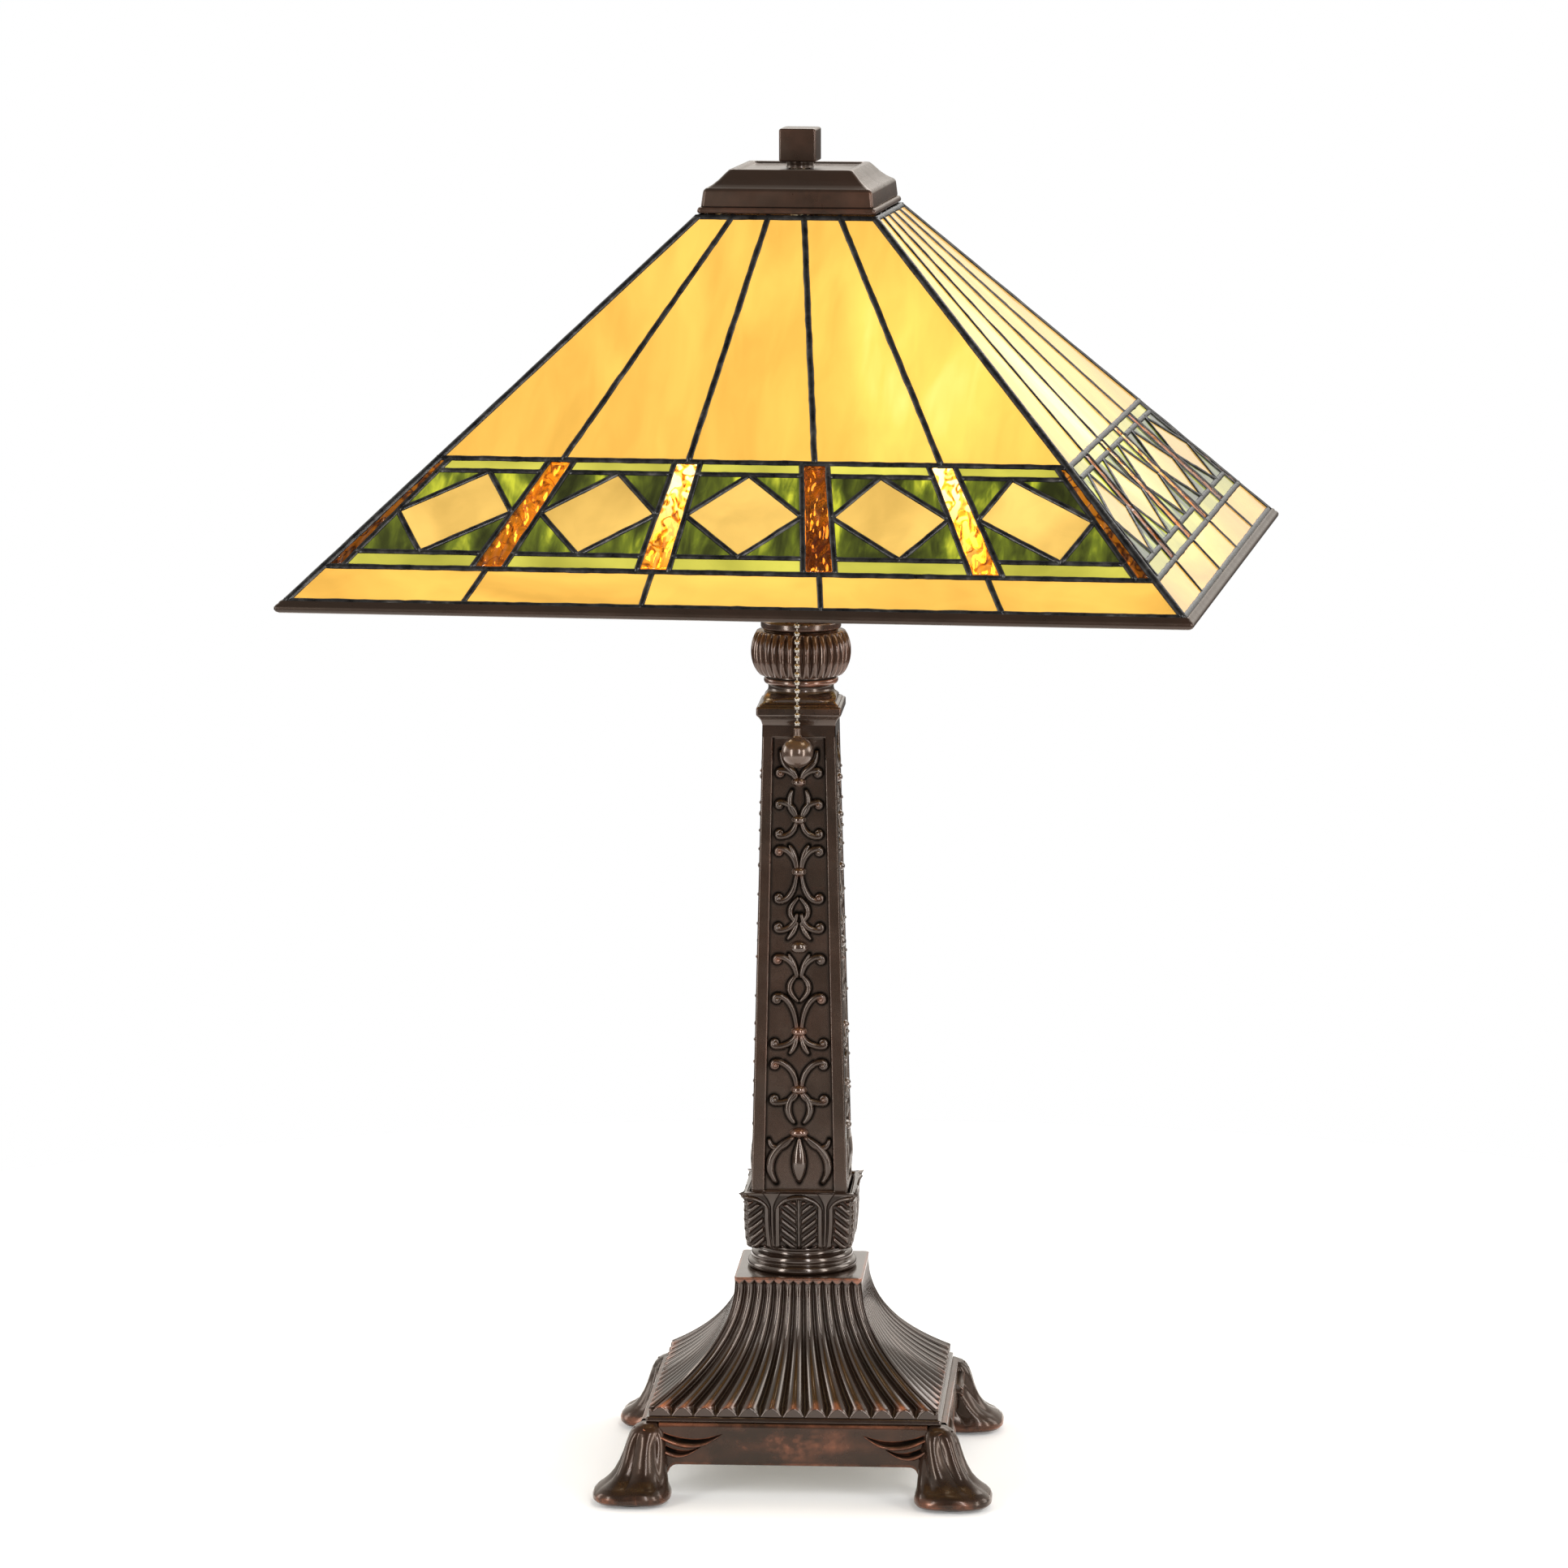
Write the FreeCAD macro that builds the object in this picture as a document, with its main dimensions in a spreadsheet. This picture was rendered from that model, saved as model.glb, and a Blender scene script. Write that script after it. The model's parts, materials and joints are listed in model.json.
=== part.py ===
import FreeCAD, Part
import math
import os
import Sketcher

# Stained glass table lamp: a square leaded-glass shade on a cast column lamp with a
# two-light cluster and a pull chain. Millimetres, +Z up, the front faces -Y, and the
# origin is on the table under the centre of the base.

doc = FreeCAD.newDocument("table_lamp")
Vector = FreeCAD.Vector
Rotation = FreeCAD.Rotation
Placement = FreeCAD.Placement

# ---------------------------------------------------------------- driving dimensions

DIMENSIONS = {
    # feet and plinth
    "pad_radius": 12.0,
    "pad_thickness": 1.2,
    "foot_inner": 59.6,
    "foot_outer": 98.0,
    "foot_toe_height": 7.0,
    "foot_ankle_inner": 62.5,
    "foot_ankle_outer": 84.0,
    "foot_ankle_height": 22.0,
    "foot_neck_inner": 63.0,
    "foot_neck_outer": 80.5,
    "apron_half": 75.4,
    "apron_wall": 8.0,
    "apron_bottom": 17.6,
    "apron_top": 38.5,
    "plate_seat_wall": 6.0,
    "base_plate_bottom": 24.0,
    "base_plate_thickness": 2.0,
    "plate_gap": 0.3,
    "ballast_half": 52.0,
    "ballast_height": 18.0,
    "bushing_height": 31.5,
    "bushing_bore": 3.5,
    "bushing_barrel": 5.5,
    "bushing_flange": 8.0,
    "bushing_flange_thickness": 2.0,
    # fluted dome: its flanks are arcs about a point out beside the dome
    "ledge_half": 72.6,
    "ledge_step": 41.2,
    "upper_ledge_half": 71.4,
    "ledge_top": 44.0,
    "dome_foot_top": 46.8,
    "dome_top": 102.5,
    "flare_centre_half": 99.0,
    "flare_centre_height": 109.0,
    "flare_radius": 68.3,
    "dome_wall": 4.0,
    # turned ring and leaf collar
    "ring_lower_radius": 27.5,
    "ring_step": 106.5,
    "ring_upper_radius": 24.5,
    "ring_top": 115.5,
    "collar_foot_half": 25.0,
    "collar_half": 26.0,
    "collar_swell_height": 121.0,
    "collar_neck_height": 138.0,
    "collar_tip_half": 28.2,
    "collar_top": 144.5,
    "collar_socket_gap": 0.2,
    # column
    "column_bottom": 134.0,
    "column_bottom_half": 24.1,
    "column_top": 377.0,
    "column_top_half": 18.0,
    "panel_bottom": 144.6,
    "panel_top": 371.2,
    "panel_bottom_half": 17.5,
    "panel_top_half": 13.0,
    "panel_depth": 1.6,
    "panel_cut_clearance": 4.0,
    "column_cavity": 12.5,
    "capital_step": 379.5,
    "capital_half": 20.8,
    "capital_top": 386.5,
    "neck_radius": 16.3,
    "neck_height": 392.6,
    "neck_ring_radius": 18.4,
    "neck_ring_bottom": 395.8,
    "neck_ring_top": 400.5,
    # knop
    "knop_foot_radius": 17.0,
    "knop_radius": 24.6,
    "knop_middle": 412.5,
    "knop_top": 422.0,
    "knop_neck_radius": 18.6,
    "cup_radius": 19.9,
    "cup_top": 428.0,
    # pipe and cluster
    "pipe_radius": 4.8,
    "pipe_bore": 5.1,
    "pipe_bottom": 18.5,
    "pipe_top": 444.0,
    "pipe_nut_across": 15.0,
    "pipe_nut_height": 4.0,
    "washer_radius": 12.0,
    "washer_thickness": 1.4,
    "hub_radius": 16.0,
    "hub_top": 456.0,
    "arm_height": 443.0,
    "arm_radius": 6.5,
    "arm_end": 24.0,
    "arm_tilt": 24.0,
    "cluster_turn": -30.0,
    # sockets and bulbs, measured out along each arm from the lamp's axis
    "socket_radius": 17.0,
    "socket_wall": 1.0,
    "socket_floor": 26.0,
    "socket_end": 57.0,
    "liner_outer": 15.9,
    "liner_inner": 13.8,
    "bulb_tip": 27.0,
    "bulb_tip_radius": 4.6,
    "bulb_thread_start": 31.0,
    "bulb_thread_radius": 13.1,
    "bulb_thread_end": 52.0,
    "bulb_neck_radius": 13.1,
    "bulb_neck_end": 60.0,
    "bulb_shoulder_radius": 20.5,
    "bulb_shoulder": 71.8,
    "bulb_radius": 29.0,
    "bulb_centre": 92.3,
    "bulb_wall": 1.2,
    # pull chain
    "chain_offset": 30.0,
    "chain_bead_radius": 1.6,
    "chain_link_radius": 0.55,
    "chain_pitch": 4.03,
    "chain_beads": 15.0,
    "chain_collar_radius": 2.6,
    "guide_radius": 4.6,
    "guide_bore": 2.8,
    "guide_bottom": 433.0,
    "guide_top": 447.0,
    "guide_stem_radius": 3.8,
    "pull_ball_radius": 7.8,
    "pull_ball_height": 365.8,
    # riser and the shade's carrier
    "riser_bottom": 444.0,
    "riser_top": 662.0,
    "locknut_across": 16.0,
    "locknut_height": 4.5,
    "riser_nut_across": 16.0,
    "riser_nut_bottom": 613.0,
    "riser_nut_height": 6.0,
    "spider_bottom": 619.3,
    "spider_thickness": 3.0,
    "spider_hub_radius": 9.5,
    "spider_bore": 4.88,
    "spider_arm_half": 3.0,
    "spider_ring_half": 39.5,
    "spider_ring_wall": 3.0,
    "spider_ring_height": 7.0,
    # leaded shade
    "shade_turn": -5.26,
    "rim_half": 212.0,
    "rim_height": 460.0,
    "aperture_half": 43.3,
    "aperture_height": 629.4,
    "glass_thickness": 3.0,
    "came_width": 2.8,
    "came_proud": 0.6,
    "band_bottom_share": 0.928,
    "band_top_share": 0.7095,
    "upper_strip": 7.4,
    "lower_strip": 9.2,
    "inner_line_share": 0.2,
    "outer_line_share": 0.6,
    "bar_top": 12.2,
    "bar_bottom": 15.2,
    "hip_bar_top": 6.2,
    "hip_bar_bottom": 9.4,
    "hip_came": 2.0,
    "channel_bottom": 455.0,
    "channel_bottom_outer": 213.8,
    "channel_bottom_inner": 211.8,
    "channel_outer_half": 216.0,
    "channel_outer_height": 457.7,
    "channel_inner_half": 209.55,
    "channel_inner_height": 457.4,
    "channel_top": 460.6,
    "channel_top_outer": 213.1,
    "channel_top_inner": 212.75,
    # cap and finial
    "cap_bottom": 630.2,
    "cap_lip_half": 43.8,
    "cap_lip_top": 633.2,
    "cap_band_half": 42.0,
    "cap_band_top": 641.5,
    "cap_band_top_half": 41.0,
    "cap_shelf_half": 39.4,
    "cap_cove_height": 645.0,
    "cap_cove_half": 35.2,
    "cap_top": 650.8,
    "cap_top_half": 30.6,
    "cap_recess_half": 26.5,
    "cap_recess_depth": 1.4,
    "cap_wall": 3.2,
    "cap_bore": 5.1,
    "finial_neck_radius": 7.0,
    "finial_gap": 0.3,
    "finial_bottom": 653.0,
    "finial_half": 9.1,
    "finial_top": 669.2,
    "finial_bore": 4.88,
    "finial_chamfer": 0.8,
}

sheet = doc.addObject("Spreadsheet::Sheet", "dims")
for row, (alias, number) in enumerate(DIMENSIONS.items(), start=1):
    sheet.set(f"A{row}", alias)
    sheet.set(f"B{row}", str(number))
    sheet.setAlias(f"B{row}", alias)
doc.recompute()


def size(expression):
    """Value of an expression over the sheet, such as dims.rim_half * 2."""
    return float(sheet.evalExpression(expression))


# ---------------------------------------------------------------- modelling helpers

nodes = []  # every sub-part, in the order in which it is made


def node(thing):
    nodes.append(thing)
    return thing


def new_body(name):
    body = doc.addObject("PartDesign::Body", name)
    body.AllowCompound = True
    return body


def origin_plane(body, role):
    return next(f for f in body.Origin.OriginFeatures if f.Role == role)


def new_sketch(body, name, role, offset="0"):
    sketch = body.newObject("Sketcher::SketchObject", name)
    sketch.AttachmentSupport = [(origin_plane(body, role), "")]
    sketch.MapMode = "FlatFace"
    sketch.setExpression("AttachmentOffset.Base.z", offset)
    return sketch


def outline(sketch, points):
    """A closed outline. A point is (x, y), or (x, y, radius, side) where an arc of that
    radius leads from it to the next point and bulges to the left (1) or right (-1)."""
    first = sketch.GeometryCount
    spots = [Vector(size(p[0]), size(p[1]), 0) for p in points]
    count = len(points)
    for index, point in enumerate(points):
        start, end = spots[index], spots[(index + 1) % count]
        if len(point) == 2:
            sketch.addGeometry(Part.LineSegment(start, end), False)
            continue
        radius, side = size(point[2]), point[3]
        chord = end - start
        left = Vector(-chord.y, chord.x, 0).normalize()
        half = chord.Length / 2
        bulge = radius - math.sqrt(max(radius * radius - half * half, 0))
        middle = (start + end) / 2 + left * bulge * side
        sketch.addGeometry(Part.Arc(start, middle, end), False)
    for index, point in enumerate(points):
        edge = first + index
        following = first + (index + 1) % count
        if len(point) == 2 or point[3] < 0:
            end_of_edge = 2
        else:
            end_of_edge = 1
        next_point = points[(index + 1) % count]
        start_of_next = 2 if len(next_point) == 4 and next_point[3] > 0 else 1
        sketch.addConstraint(
            Sketcher.Constraint("Coincident", edge, end_of_edge, following, start_of_next))
        start_of_edge = 2 if end_of_edge == 1 else 1
        for kind, expression in (("DistanceX", point[0]), ("DistanceY", point[1])):
            number = sketch.addConstraint(
                Sketcher.Constraint(kind, -1, 1, edge, start_of_edge, size(expression)))
            sketch.setExpression(f"Constraints[{number}]", expression)
        if len(point) == 4:
            number = sketch.addConstraint(Sketcher.Constraint("Radius", edge, size(point[2])))
            sketch.setExpression(f"Constraints[{number}]", point[2])
    return sketch


def circle(sketch, radius):
    edge = sketch.addGeometry(Part.Circle(Vector(0, 0, 0), Vector(0, 0, 1), size(radius)), False)
    sketch.addConstraint(Sketcher.Constraint("Coincident", edge, 3, -1, 1))
    number = sketch.addConstraint(Sketcher.Constraint("Radius", edge, size(radius)))
    sketch.setExpression(f"Constraints[{number}]", radius)
    return sketch


def rectangle(sketch, left, right, bottom, top):
    return outline(sketch, [(left, bottom), (right, bottom), (right, top), (left, top)])


def square(body, name, half, height):
    sketch = new_sketch(body, name, "XY_Plane", height)
    return rectangle(sketch, f"-({half})", half, f"-({half})", half)


def loft(body, name, sketches, subtract=False, ruled=True):
    kind = "PartDesign::SubtractiveLoft" if subtract else "PartDesign::AdditiveLoft"
    feature = body.newObject(kind, name)
    feature.Profile = sketches[0]
    feature.Sections = sketches[1:]
    feature.Ruled = ruled
    return feature


def square_loft(body, name, levels, subtract=False, ruled=True):
    """A loft through centred squares, each given as (height, half width)."""
    sketches = []
    for index, (height, half) in enumerate(levels):
        sketches.append(square(body, f"{name}_{index}", half, height))
    return loft(body, name, sketches, subtract, ruled)


def pad(body, name, sketch, length):
    feature = body.newObject("PartDesign::Pad", name)
    feature.Profile = sketch
    feature.setExpression("Length", length)
    return feature


def pocket(body, name, sketch, length, upward=True):
    """Cut a sketch of the XY plane out of the solid, upwards or downwards."""
    before = body_volume(body)
    feature = body.newObject("PartDesign::Pocket", name)
    feature.Profile = sketch
    feature.setExpression("Length", length)
    feature.Reversed = upward
    doc.recompute()
    if body.Shape.Volume >= before:
        raise RuntimeError(f"{name} cuts nothing")
    return feature


def body_volume(body):
    doc.recompute()
    return body.Shape.Volume


def pipe_hole(body, radius="dims.pipe_bore"):
    """The bore for the lamp pipe, right through the body along Z."""
    before = body_volume(body)
    sketch = circle(new_sketch(body, f"{body.Name}_bore_circle", "XY_Plane"), radius)
    bore = body.newObject("PartDesign::Pocket", f"{body.Name}_bore")
    bore.Profile = sketch
    bore.Type = "ThroughAll"
    bore.Midplane = True
    doc.recompute()
    if body.Shape.Volume >= before:
        raise RuntimeError(f"the bore of {body.Name} cuts nothing")


def turned(name, points):
    """A body turned about Z from an outline of (radius, height) points."""
    body = new_body(name)
    sketch = outline(new_sketch(body, f"{name}_profile", "XZ_Plane"), points)
    turn = body.newObject("PartDesign::Revolution", f"{name}_turn")
    turn.Profile = sketch
    turn.ReferenceAxis = (sketch, ["V_Axis"])
    turn.Angle = 360
    return node(body)


def four_times(body, name, features):
    """Repeat features round the lamp's axis, once for each side of the square."""
    pattern = body.newObject("PartDesign::PolarPattern", name)
    pattern.Originals = features
    pattern.Axis = (next(f for f in body.Origin.OriginFeatures if f.Role == "Z_Axis"), [""])
    pattern.Angle = 360
    pattern.Occurrences = 4
    body.Tip = pattern
    return pattern


def hex_nut(name, across, bottom, height, bore):
    body = new_body(name)
    sketch = new_sketch(body, f"{name}_hexagon", "XY_Plane", bottom)
    corners = []
    for corner in range(6):
        turn = f"{60 * corner + 30}deg"
        reach = f"{across} / 2 / cos(30deg)"
        corners.append((f"{reach} * cos({turn})", f"{reach} * sin({turn})"))
    outline(sketch, corners)
    pad(body, f"{name}_pad", sketch, height)
    pipe_hole(body, bore)
    return node(body)


# ---------------------------------------------------------------- feet and plinth

def felt_pads():
    body = new_body("felt_pads")
    sketch = new_sketch(body, "pad_circle", "XY_Plane")
    centre = "(dims.foot_inner + dims.foot_outer) / 2"
    edge = sketch.addGeometry(
        Part.Circle(Vector(size(centre), size(centre), 0), Vector(0, 0, 1), size("dims.pad_radius")),
        False)
    for kind in ("DistanceX", "DistanceY"):
        number = sketch.addConstraint(Sketcher.Constraint(kind, -1, 1, edge, 3, size(centre)))
        sketch.setExpression(f"Constraints[{number}]", centre)
    number = sketch.addConstraint(Sketcher.Constraint("Radius", edge, size("dims.pad_radius")))
    sketch.setExpression(f"Constraints[{number}]", "dims.pad_radius")
    disc = pad(body, "pad_disc", sketch, "dims.pad_thickness")
    four_times(body, "four_pads", [disc])
    return node(body)


def plinth_frame():
    """The square apron, and at each corner a foot that flares outwards to its toe."""
    body = new_body("plinth_frame")
    apron = square(body, "apron_outline", "dims.apron_half", "dims.apron_bottom")
    pad(body, "apron", apron, "dims.apron_top - dims.apron_bottom")
    levels = [
        ("dims.pad_thickness", "dims.foot_inner", "dims.foot_outer"),
        ("dims.foot_toe_height", "dims.foot_inner", "dims.foot_outer"),
        ("dims.foot_ankle_height", "dims.foot_ankle_inner", "dims.foot_ankle_outer"),
        ("dims.apron_top", "dims.foot_neck_inner", "dims.foot_neck_outer"),
    ]
    sections = []
    for index, (height, inner, outer) in enumerate(levels):
        sketch = new_sketch(body, f"foot_{index}", "XY_Plane", height)
        sections.append(rectangle(sketch, inner, outer, inner, outer))
    foot = loft(body, "foot", sections)
    four_times(body, "four_feet", [foot])
    opening = square(body, "apron_opening", "dims.apron_half - dims.apron_wall", "dims.apron_bottom")
    pocket(body, "apron_hollow", opening, "dims.apron_top - dims.apron_bottom")
    seat = square(body, "plate_seat_outline", "dims.apron_half - dims.plate_seat_wall",
                  "dims.apron_bottom")
    seat_height = "dims.base_plate_bottom + dims.base_plate_thickness - dims.apron_bottom"
    pocket(body, "plate_seat", seat, seat_height)
    # the hole for the cord bushing runs through the back wall only
    hole = circle(new_sketch(body, "bushing_hole_circle", "XZ_Plane",
                             "-dims.apron_half + dims.apron_wall / 2"), "dims.bushing_barrel")
    hole.setExpression("AttachmentOffset.Base.y", "dims.bushing_height")
    before = body_volume(body)
    cut = body.newObject("PartDesign::Pocket", "bushing_hole")
    cut.Profile = hole
    cut.Midplane = True
    cut.setExpression("Length", "dims.apron_wall * 2")
    doc.recompute()
    if body.Shape.Volume >= before:
        raise RuntimeError("the bushing hole cuts nothing")
    return node(body)


def base_plate():
    """The sheet plate that closes the plinth and bears on a seat inside the apron."""
    body = new_body("base_plate")
    half = "dims.apron_half - dims.plate_seat_wall - dims.plate_gap"
    blank = square(body, "plate_outline", half, "dims.base_plate_bottom")
    pad(body, "plate", blank, "dims.base_plate_thickness")
    pipe_hole(body)
    return node(body)


def ballast_weight():
    body = new_body("ballast_weight")
    bottom = "dims.base_plate_bottom + dims.base_plate_thickness"
    block = square(body, "ballast_outline", "dims.ballast_half", bottom)
    pad(body, "ballast", block, "dims.ballast_height")
    pipe_hole(body)
    return node(body)


def cord_bushing():
    """A flanged sleeve pushed into the plinth's back wall from behind."""
    body = turned("cord_bushing", [
        ("dims.bushing_bore", "0"),
        ("dims.bushing_barrel", "0"),
        ("dims.bushing_barrel", "dims.apron_wall"),
        ("dims.bushing_flange", "dims.apron_wall"),
        ("dims.bushing_flange", "dims.apron_wall + dims.bushing_flange_thickness"),
        ("dims.bushing_bore", "dims.apron_wall + dims.bushing_flange_thickness"),
    ])
    start = Vector(0, size("dims.apron_half - dims.apron_wall"), size("dims.bushing_height"))
    body.Placement = Placement(start, Rotation(Vector(1, 0, 0), -90))
    return body


# ---------------------------------------------------------------- dome, ring and collar

def flare(height, inset="0"):
    """Half width of the dome at a height, or of its inside at a distance inwards."""
    rise = f"({height} - dims.flare_centre_height)"
    reach = f"(dims.flare_radius + {inset})"
    return f"dims.flare_centre_half - sqrt(pow({reach}; 2) - pow({rise}; 2))"


FLARE_LEVELS = 7


def fluted_dome():
    body = new_body("fluted_dome")
    ledge = square(body, "ledge_outline", "dims.ledge_half", "dims.apron_top")
    pad(body, "ledge", ledge, "dims.ledge_step - dims.apron_top")
    upper = square(body, "upper_ledge_outline", "dims.upper_ledge_half", "dims.ledge_step")
    pad(body, "upper_ledge", upper, "dims.ledge_top - dims.ledge_step")
    rise = "(dims.dome_top - dims.dome_foot_top)"
    outside = [("dims.ledge_top", flare("dims.dome_foot_top"))]
    inside = [("dims.apron_top", flare("dims.dome_foot_top", "dims.dome_wall"))]
    for level in range(FLARE_LEVELS):
        height = f"(dims.dome_foot_top + {rise} * {level} / {FLARE_LEVELS - 1})"
        outside.append((height, flare(height)))
        if level < FLARE_LEVELS - 1:
            inside.append((height, flare(height, "dims.dome_wall")))
    under_top = "(dims.dome_top - dims.dome_wall)"
    inside.append((under_top, flare(under_top, "dims.dome_wall")))
    square_loft(body, "flare", outside)
    before = body_volume(body)
    square_loft(body, "hollow", inside, subtract=True)
    if body_volume(body) >= before:
        raise RuntimeError("the dome's hollow cuts nothing")
    pipe_hole(body)
    return node(body)


def stepped_ring():
    return turned("stepped_ring", [
        ("dims.pipe_bore", "dims.dome_top"),
        ("dims.ring_lower_radius", "dims.dome_top"),
        ("dims.ring_lower_radius", "dims.ring_step"),
        ("dims.ring_upper_radius", "dims.ring_step"),
        ("dims.ring_upper_radius", "dims.ring_top"),
        ("dims.pipe_bore", "dims.ring_top"),
    ])


def leaf_collar():
    """The square collar whose leaves flare outwards at the tips round the column's foot."""
    body = new_body("leaf_collar")
    square_loft(body, "collar", [
        ("dims.ring_top", "dims.collar_foot_half"),
        ("dims.collar_swell_height", "dims.collar_half"),
        ("dims.collar_neck_height", "dims.collar_half + 0.3"),
        ("dims.collar_top", "dims.collar_tip_half"),
    ])
    socket = square(body, "collar_socket_outline",
                    "dims.column_bottom_half + dims.collar_socket_gap", "dims.column_bottom")
    pocket(body, "collar_socket", socket, "dims.collar_top - dims.column_bottom + 1")
    pipe_hole(body)
    return node(body)


# ---------------------------------------------------------------- column

def shaft_half(height):
    """Half width of the tapered column at a height."""
    share = f"(({height} - dims.column_bottom) / (dims.column_top - dims.column_bottom))"
    return (f"dims.column_bottom_half + {share} * "
            "(dims.column_top_half - dims.column_bottom_half)")


def column_shaft():
    """The tapered square shaft, cast hollow, with a recessed panel on each side."""
    body = new_body("column_shaft")
    square_loft(body, "shaft", [
        ("dims.column_bottom", "dims.column_bottom_half"),
        ("dims.column_top", "dims.column_top_half"),
    ])
    before = body_volume(body)
    sections = []
    for end, half in (("dims.panel_bottom", "dims.panel_bottom_half"),
                      ("dims.panel_top", "dims.panel_top_half")):
        name = "panel_" + end.split("_")[-1]
        face = f"({shaft_half(end)})"
        sketch = new_sketch(body, name, "XY_Plane", end)
        outer = f"-{face} - dims.panel_cut_clearance"
        inner = f"-{face} + dims.panel_depth"
        sections.append(rectangle(sketch, f"-({half})", half, outer, inner))
    panel = loft(body, "panel", sections, subtract=True)
    four_times(body, "four_panels", [panel])
    if body_volume(body) >= before:
        raise RuntimeError("the panels cut nothing")
    pipe_hole(body, "dims.column_cavity")
    return node(body)


def column_capital():
    body = new_body("column_capital")
    lower = square(body, "capital_step_outline", "dims.column_top_half + 0.9", "dims.column_top")
    pad(body, "capital_step", lower, "dims.capital_step - dims.column_top")
    square_loft(body, "capital", [
        ("dims.capital_step", "dims.capital_half - 1.2"),
        ("dims.capital_step + 1.2", "dims.capital_half"),
        ("dims.capital_top", "dims.capital_half"),
    ])
    pipe_hole(body)
    return node(body)


def neck_ring():
    """The turned neck between capital and knop: a cove with a round moulding above it."""
    return turned("neck_ring", [
        ("dims.pipe_bore", "dims.capital_top"),
        ("dims.neck_ring_radius + 0.6", "dims.capital_top"),
        ("dims.neck_radius", "dims.neck_height"),
        ("dims.neck_radius", "dims.neck_ring_bottom"),
        ("dims.neck_ring_radius", "dims.neck_ring_bottom"),
        ("dims.neck_ring_radius", "dims.neck_ring_top"),
        ("dims.pipe_bore", "dims.neck_ring_top"),
    ])


def gadrooned_knop():
    bulge = "((dims.knop_top - dims.neck_ring_top) / 2 + 4)"
    return turned("gadrooned_knop", [
        ("dims.pipe_bore", "dims.neck_ring_top"),
        ("dims.knop_foot_radius", "dims.neck_ring_top", bulge, -1),
        ("dims.knop_radius", "dims.knop_middle", bulge, -1),
        ("dims.knop_neck_radius", "dims.knop_top"),
        ("dims.pipe_bore", "dims.knop_top"),
    ])


def knop_cup():
    return turned("knop_cup", [
        ("dims.pipe_bore", "dims.knop_top"),
        ("dims.cup_radius", "dims.knop_top"),
        ("dims.cup_radius", "dims.cup_top - 1.5"),
        ("dims.cup_radius - 1.5", "dims.cup_top"),
        ("dims.pipe_bore", "dims.cup_top"),
    ])


# ---------------------------------------------------------------- pipe and its fasteners

def rod(name, radius, bottom, top):
    return turned(name, [
        ("0", bottom),
        (radius, bottom),
        (radius, top),
        ("0", top),
    ])


def washer(name, radius, bottom, thickness):
    return turned(name, [
        ("dims.pipe_bore", bottom),
        (radius, bottom),
        (radius, f"{bottom} + {thickness}"),
        ("dims.pipe_bore", f"{bottom} + {thickness}"),
    ])


# ---------------------------------------------------------------- cluster, sockets, bulbs

def arm_placement(side):
    """Puts a piece that is built along Z onto the arm on one side (-1 left, 1 right)."""
    turn = Rotation(Vector(0, 0, 1), size("dims.cluster_turn") + (0 if side > 0 else 180))
    tilt = Rotation(Vector(0, 1, 0), 90 - size("dims.arm_tilt"))
    return Placement(Vector(0, 0, size("dims.arm_height")), turn.multiply(tilt))


def cluster_body():
    """The turned hub with its two tilted arms, bored for the pipe below and riser above."""
    hub = doc.addObject("Part::Cylinder", "cluster_hub")
    hub.setExpression("Radius", "dims.hub_radius")
    hub.setExpression("Height", "dims.hub_top - dims.cup_top")
    hub.setExpression("Placement.Base.z", "dims.cup_top")
    arms = []
    for name, side in (("left", -1), ("right", 1)):
        arm = doc.addObject("Part::Cylinder", f"cluster_arm_{name}")
        arm.setExpression("Radius", "dims.arm_radius")
        arm.setExpression("Height", "dims.arm_end")
        arm.Placement = arm_placement(side)
        arms.append(arm)
    stem = doc.addObject("Part::Cylinder", "guide_stem_blank")
    stem.setExpression("Radius", "dims.guide_stem_radius")
    stem.setExpression("Height", "dims.chain_offset - dims.guide_bore - 1.2")
    stem.Placement = Placement(Vector(0, 0, size("(dims.guide_bottom + dims.guide_top) / 2 + 1")),
                               Rotation(Vector(1, 0, 0), 90))
    blank = doc.addObject("Part::MultiFuse", "cluster_blank")
    blank.Shapes = [hub, stem] + arms
    bore = doc.addObject("Part::Cylinder", "cluster_bore")
    bore.setExpression("Radius", "dims.pipe_bore")
    bore.setExpression("Height", "dims.hub_top - dims.cup_top")
    bore.setExpression("Placement.Base.z", "dims.cup_top")
    chain_way = doc.addObject("Part::Cylinder", "chain_way")
    chain_way.setExpression("Radius", "dims.guide_radius")
    chain_way.setExpression("Height", "dims.guide_top - dims.guide_bottom")
    chain_way.setExpression("Placement.Base.z", "dims.guide_bottom")
    chain_way.setExpression("Placement.Base.y", "-dims.chain_offset")
    cuts = doc.addObject("Part::MultiFuse", "cluster_cuts")
    cuts.Shapes = [bore, chain_way]
    cluster = doc.addObject("Part::Cut", "cluster_body")
    cluster.Base = blank
    cluster.Tool = cuts
    return node(cluster)


def chain_guide():
    """The bell-mouthed sleeve on the end of the switch's stem, which the chain runs out of."""
    body = turned("chain_guide", [
        ("dims.guide_bore + 1", "dims.guide_bottom"),
        ("dims.guide_radius", "dims.guide_bottom"),
        ("dims.guide_radius", "dims.guide_top"),
        ("0", "dims.guide_top"),
        ("0", "dims.guide_top - 1.5"),
        ("dims.guide_bore", "dims.guide_top - 1.5"),
        ("dims.guide_bore", "dims.guide_bottom + 2"),
    ])
    body.setExpression("Placement.Base.y", "-dims.chain_offset")
    return body


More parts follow.
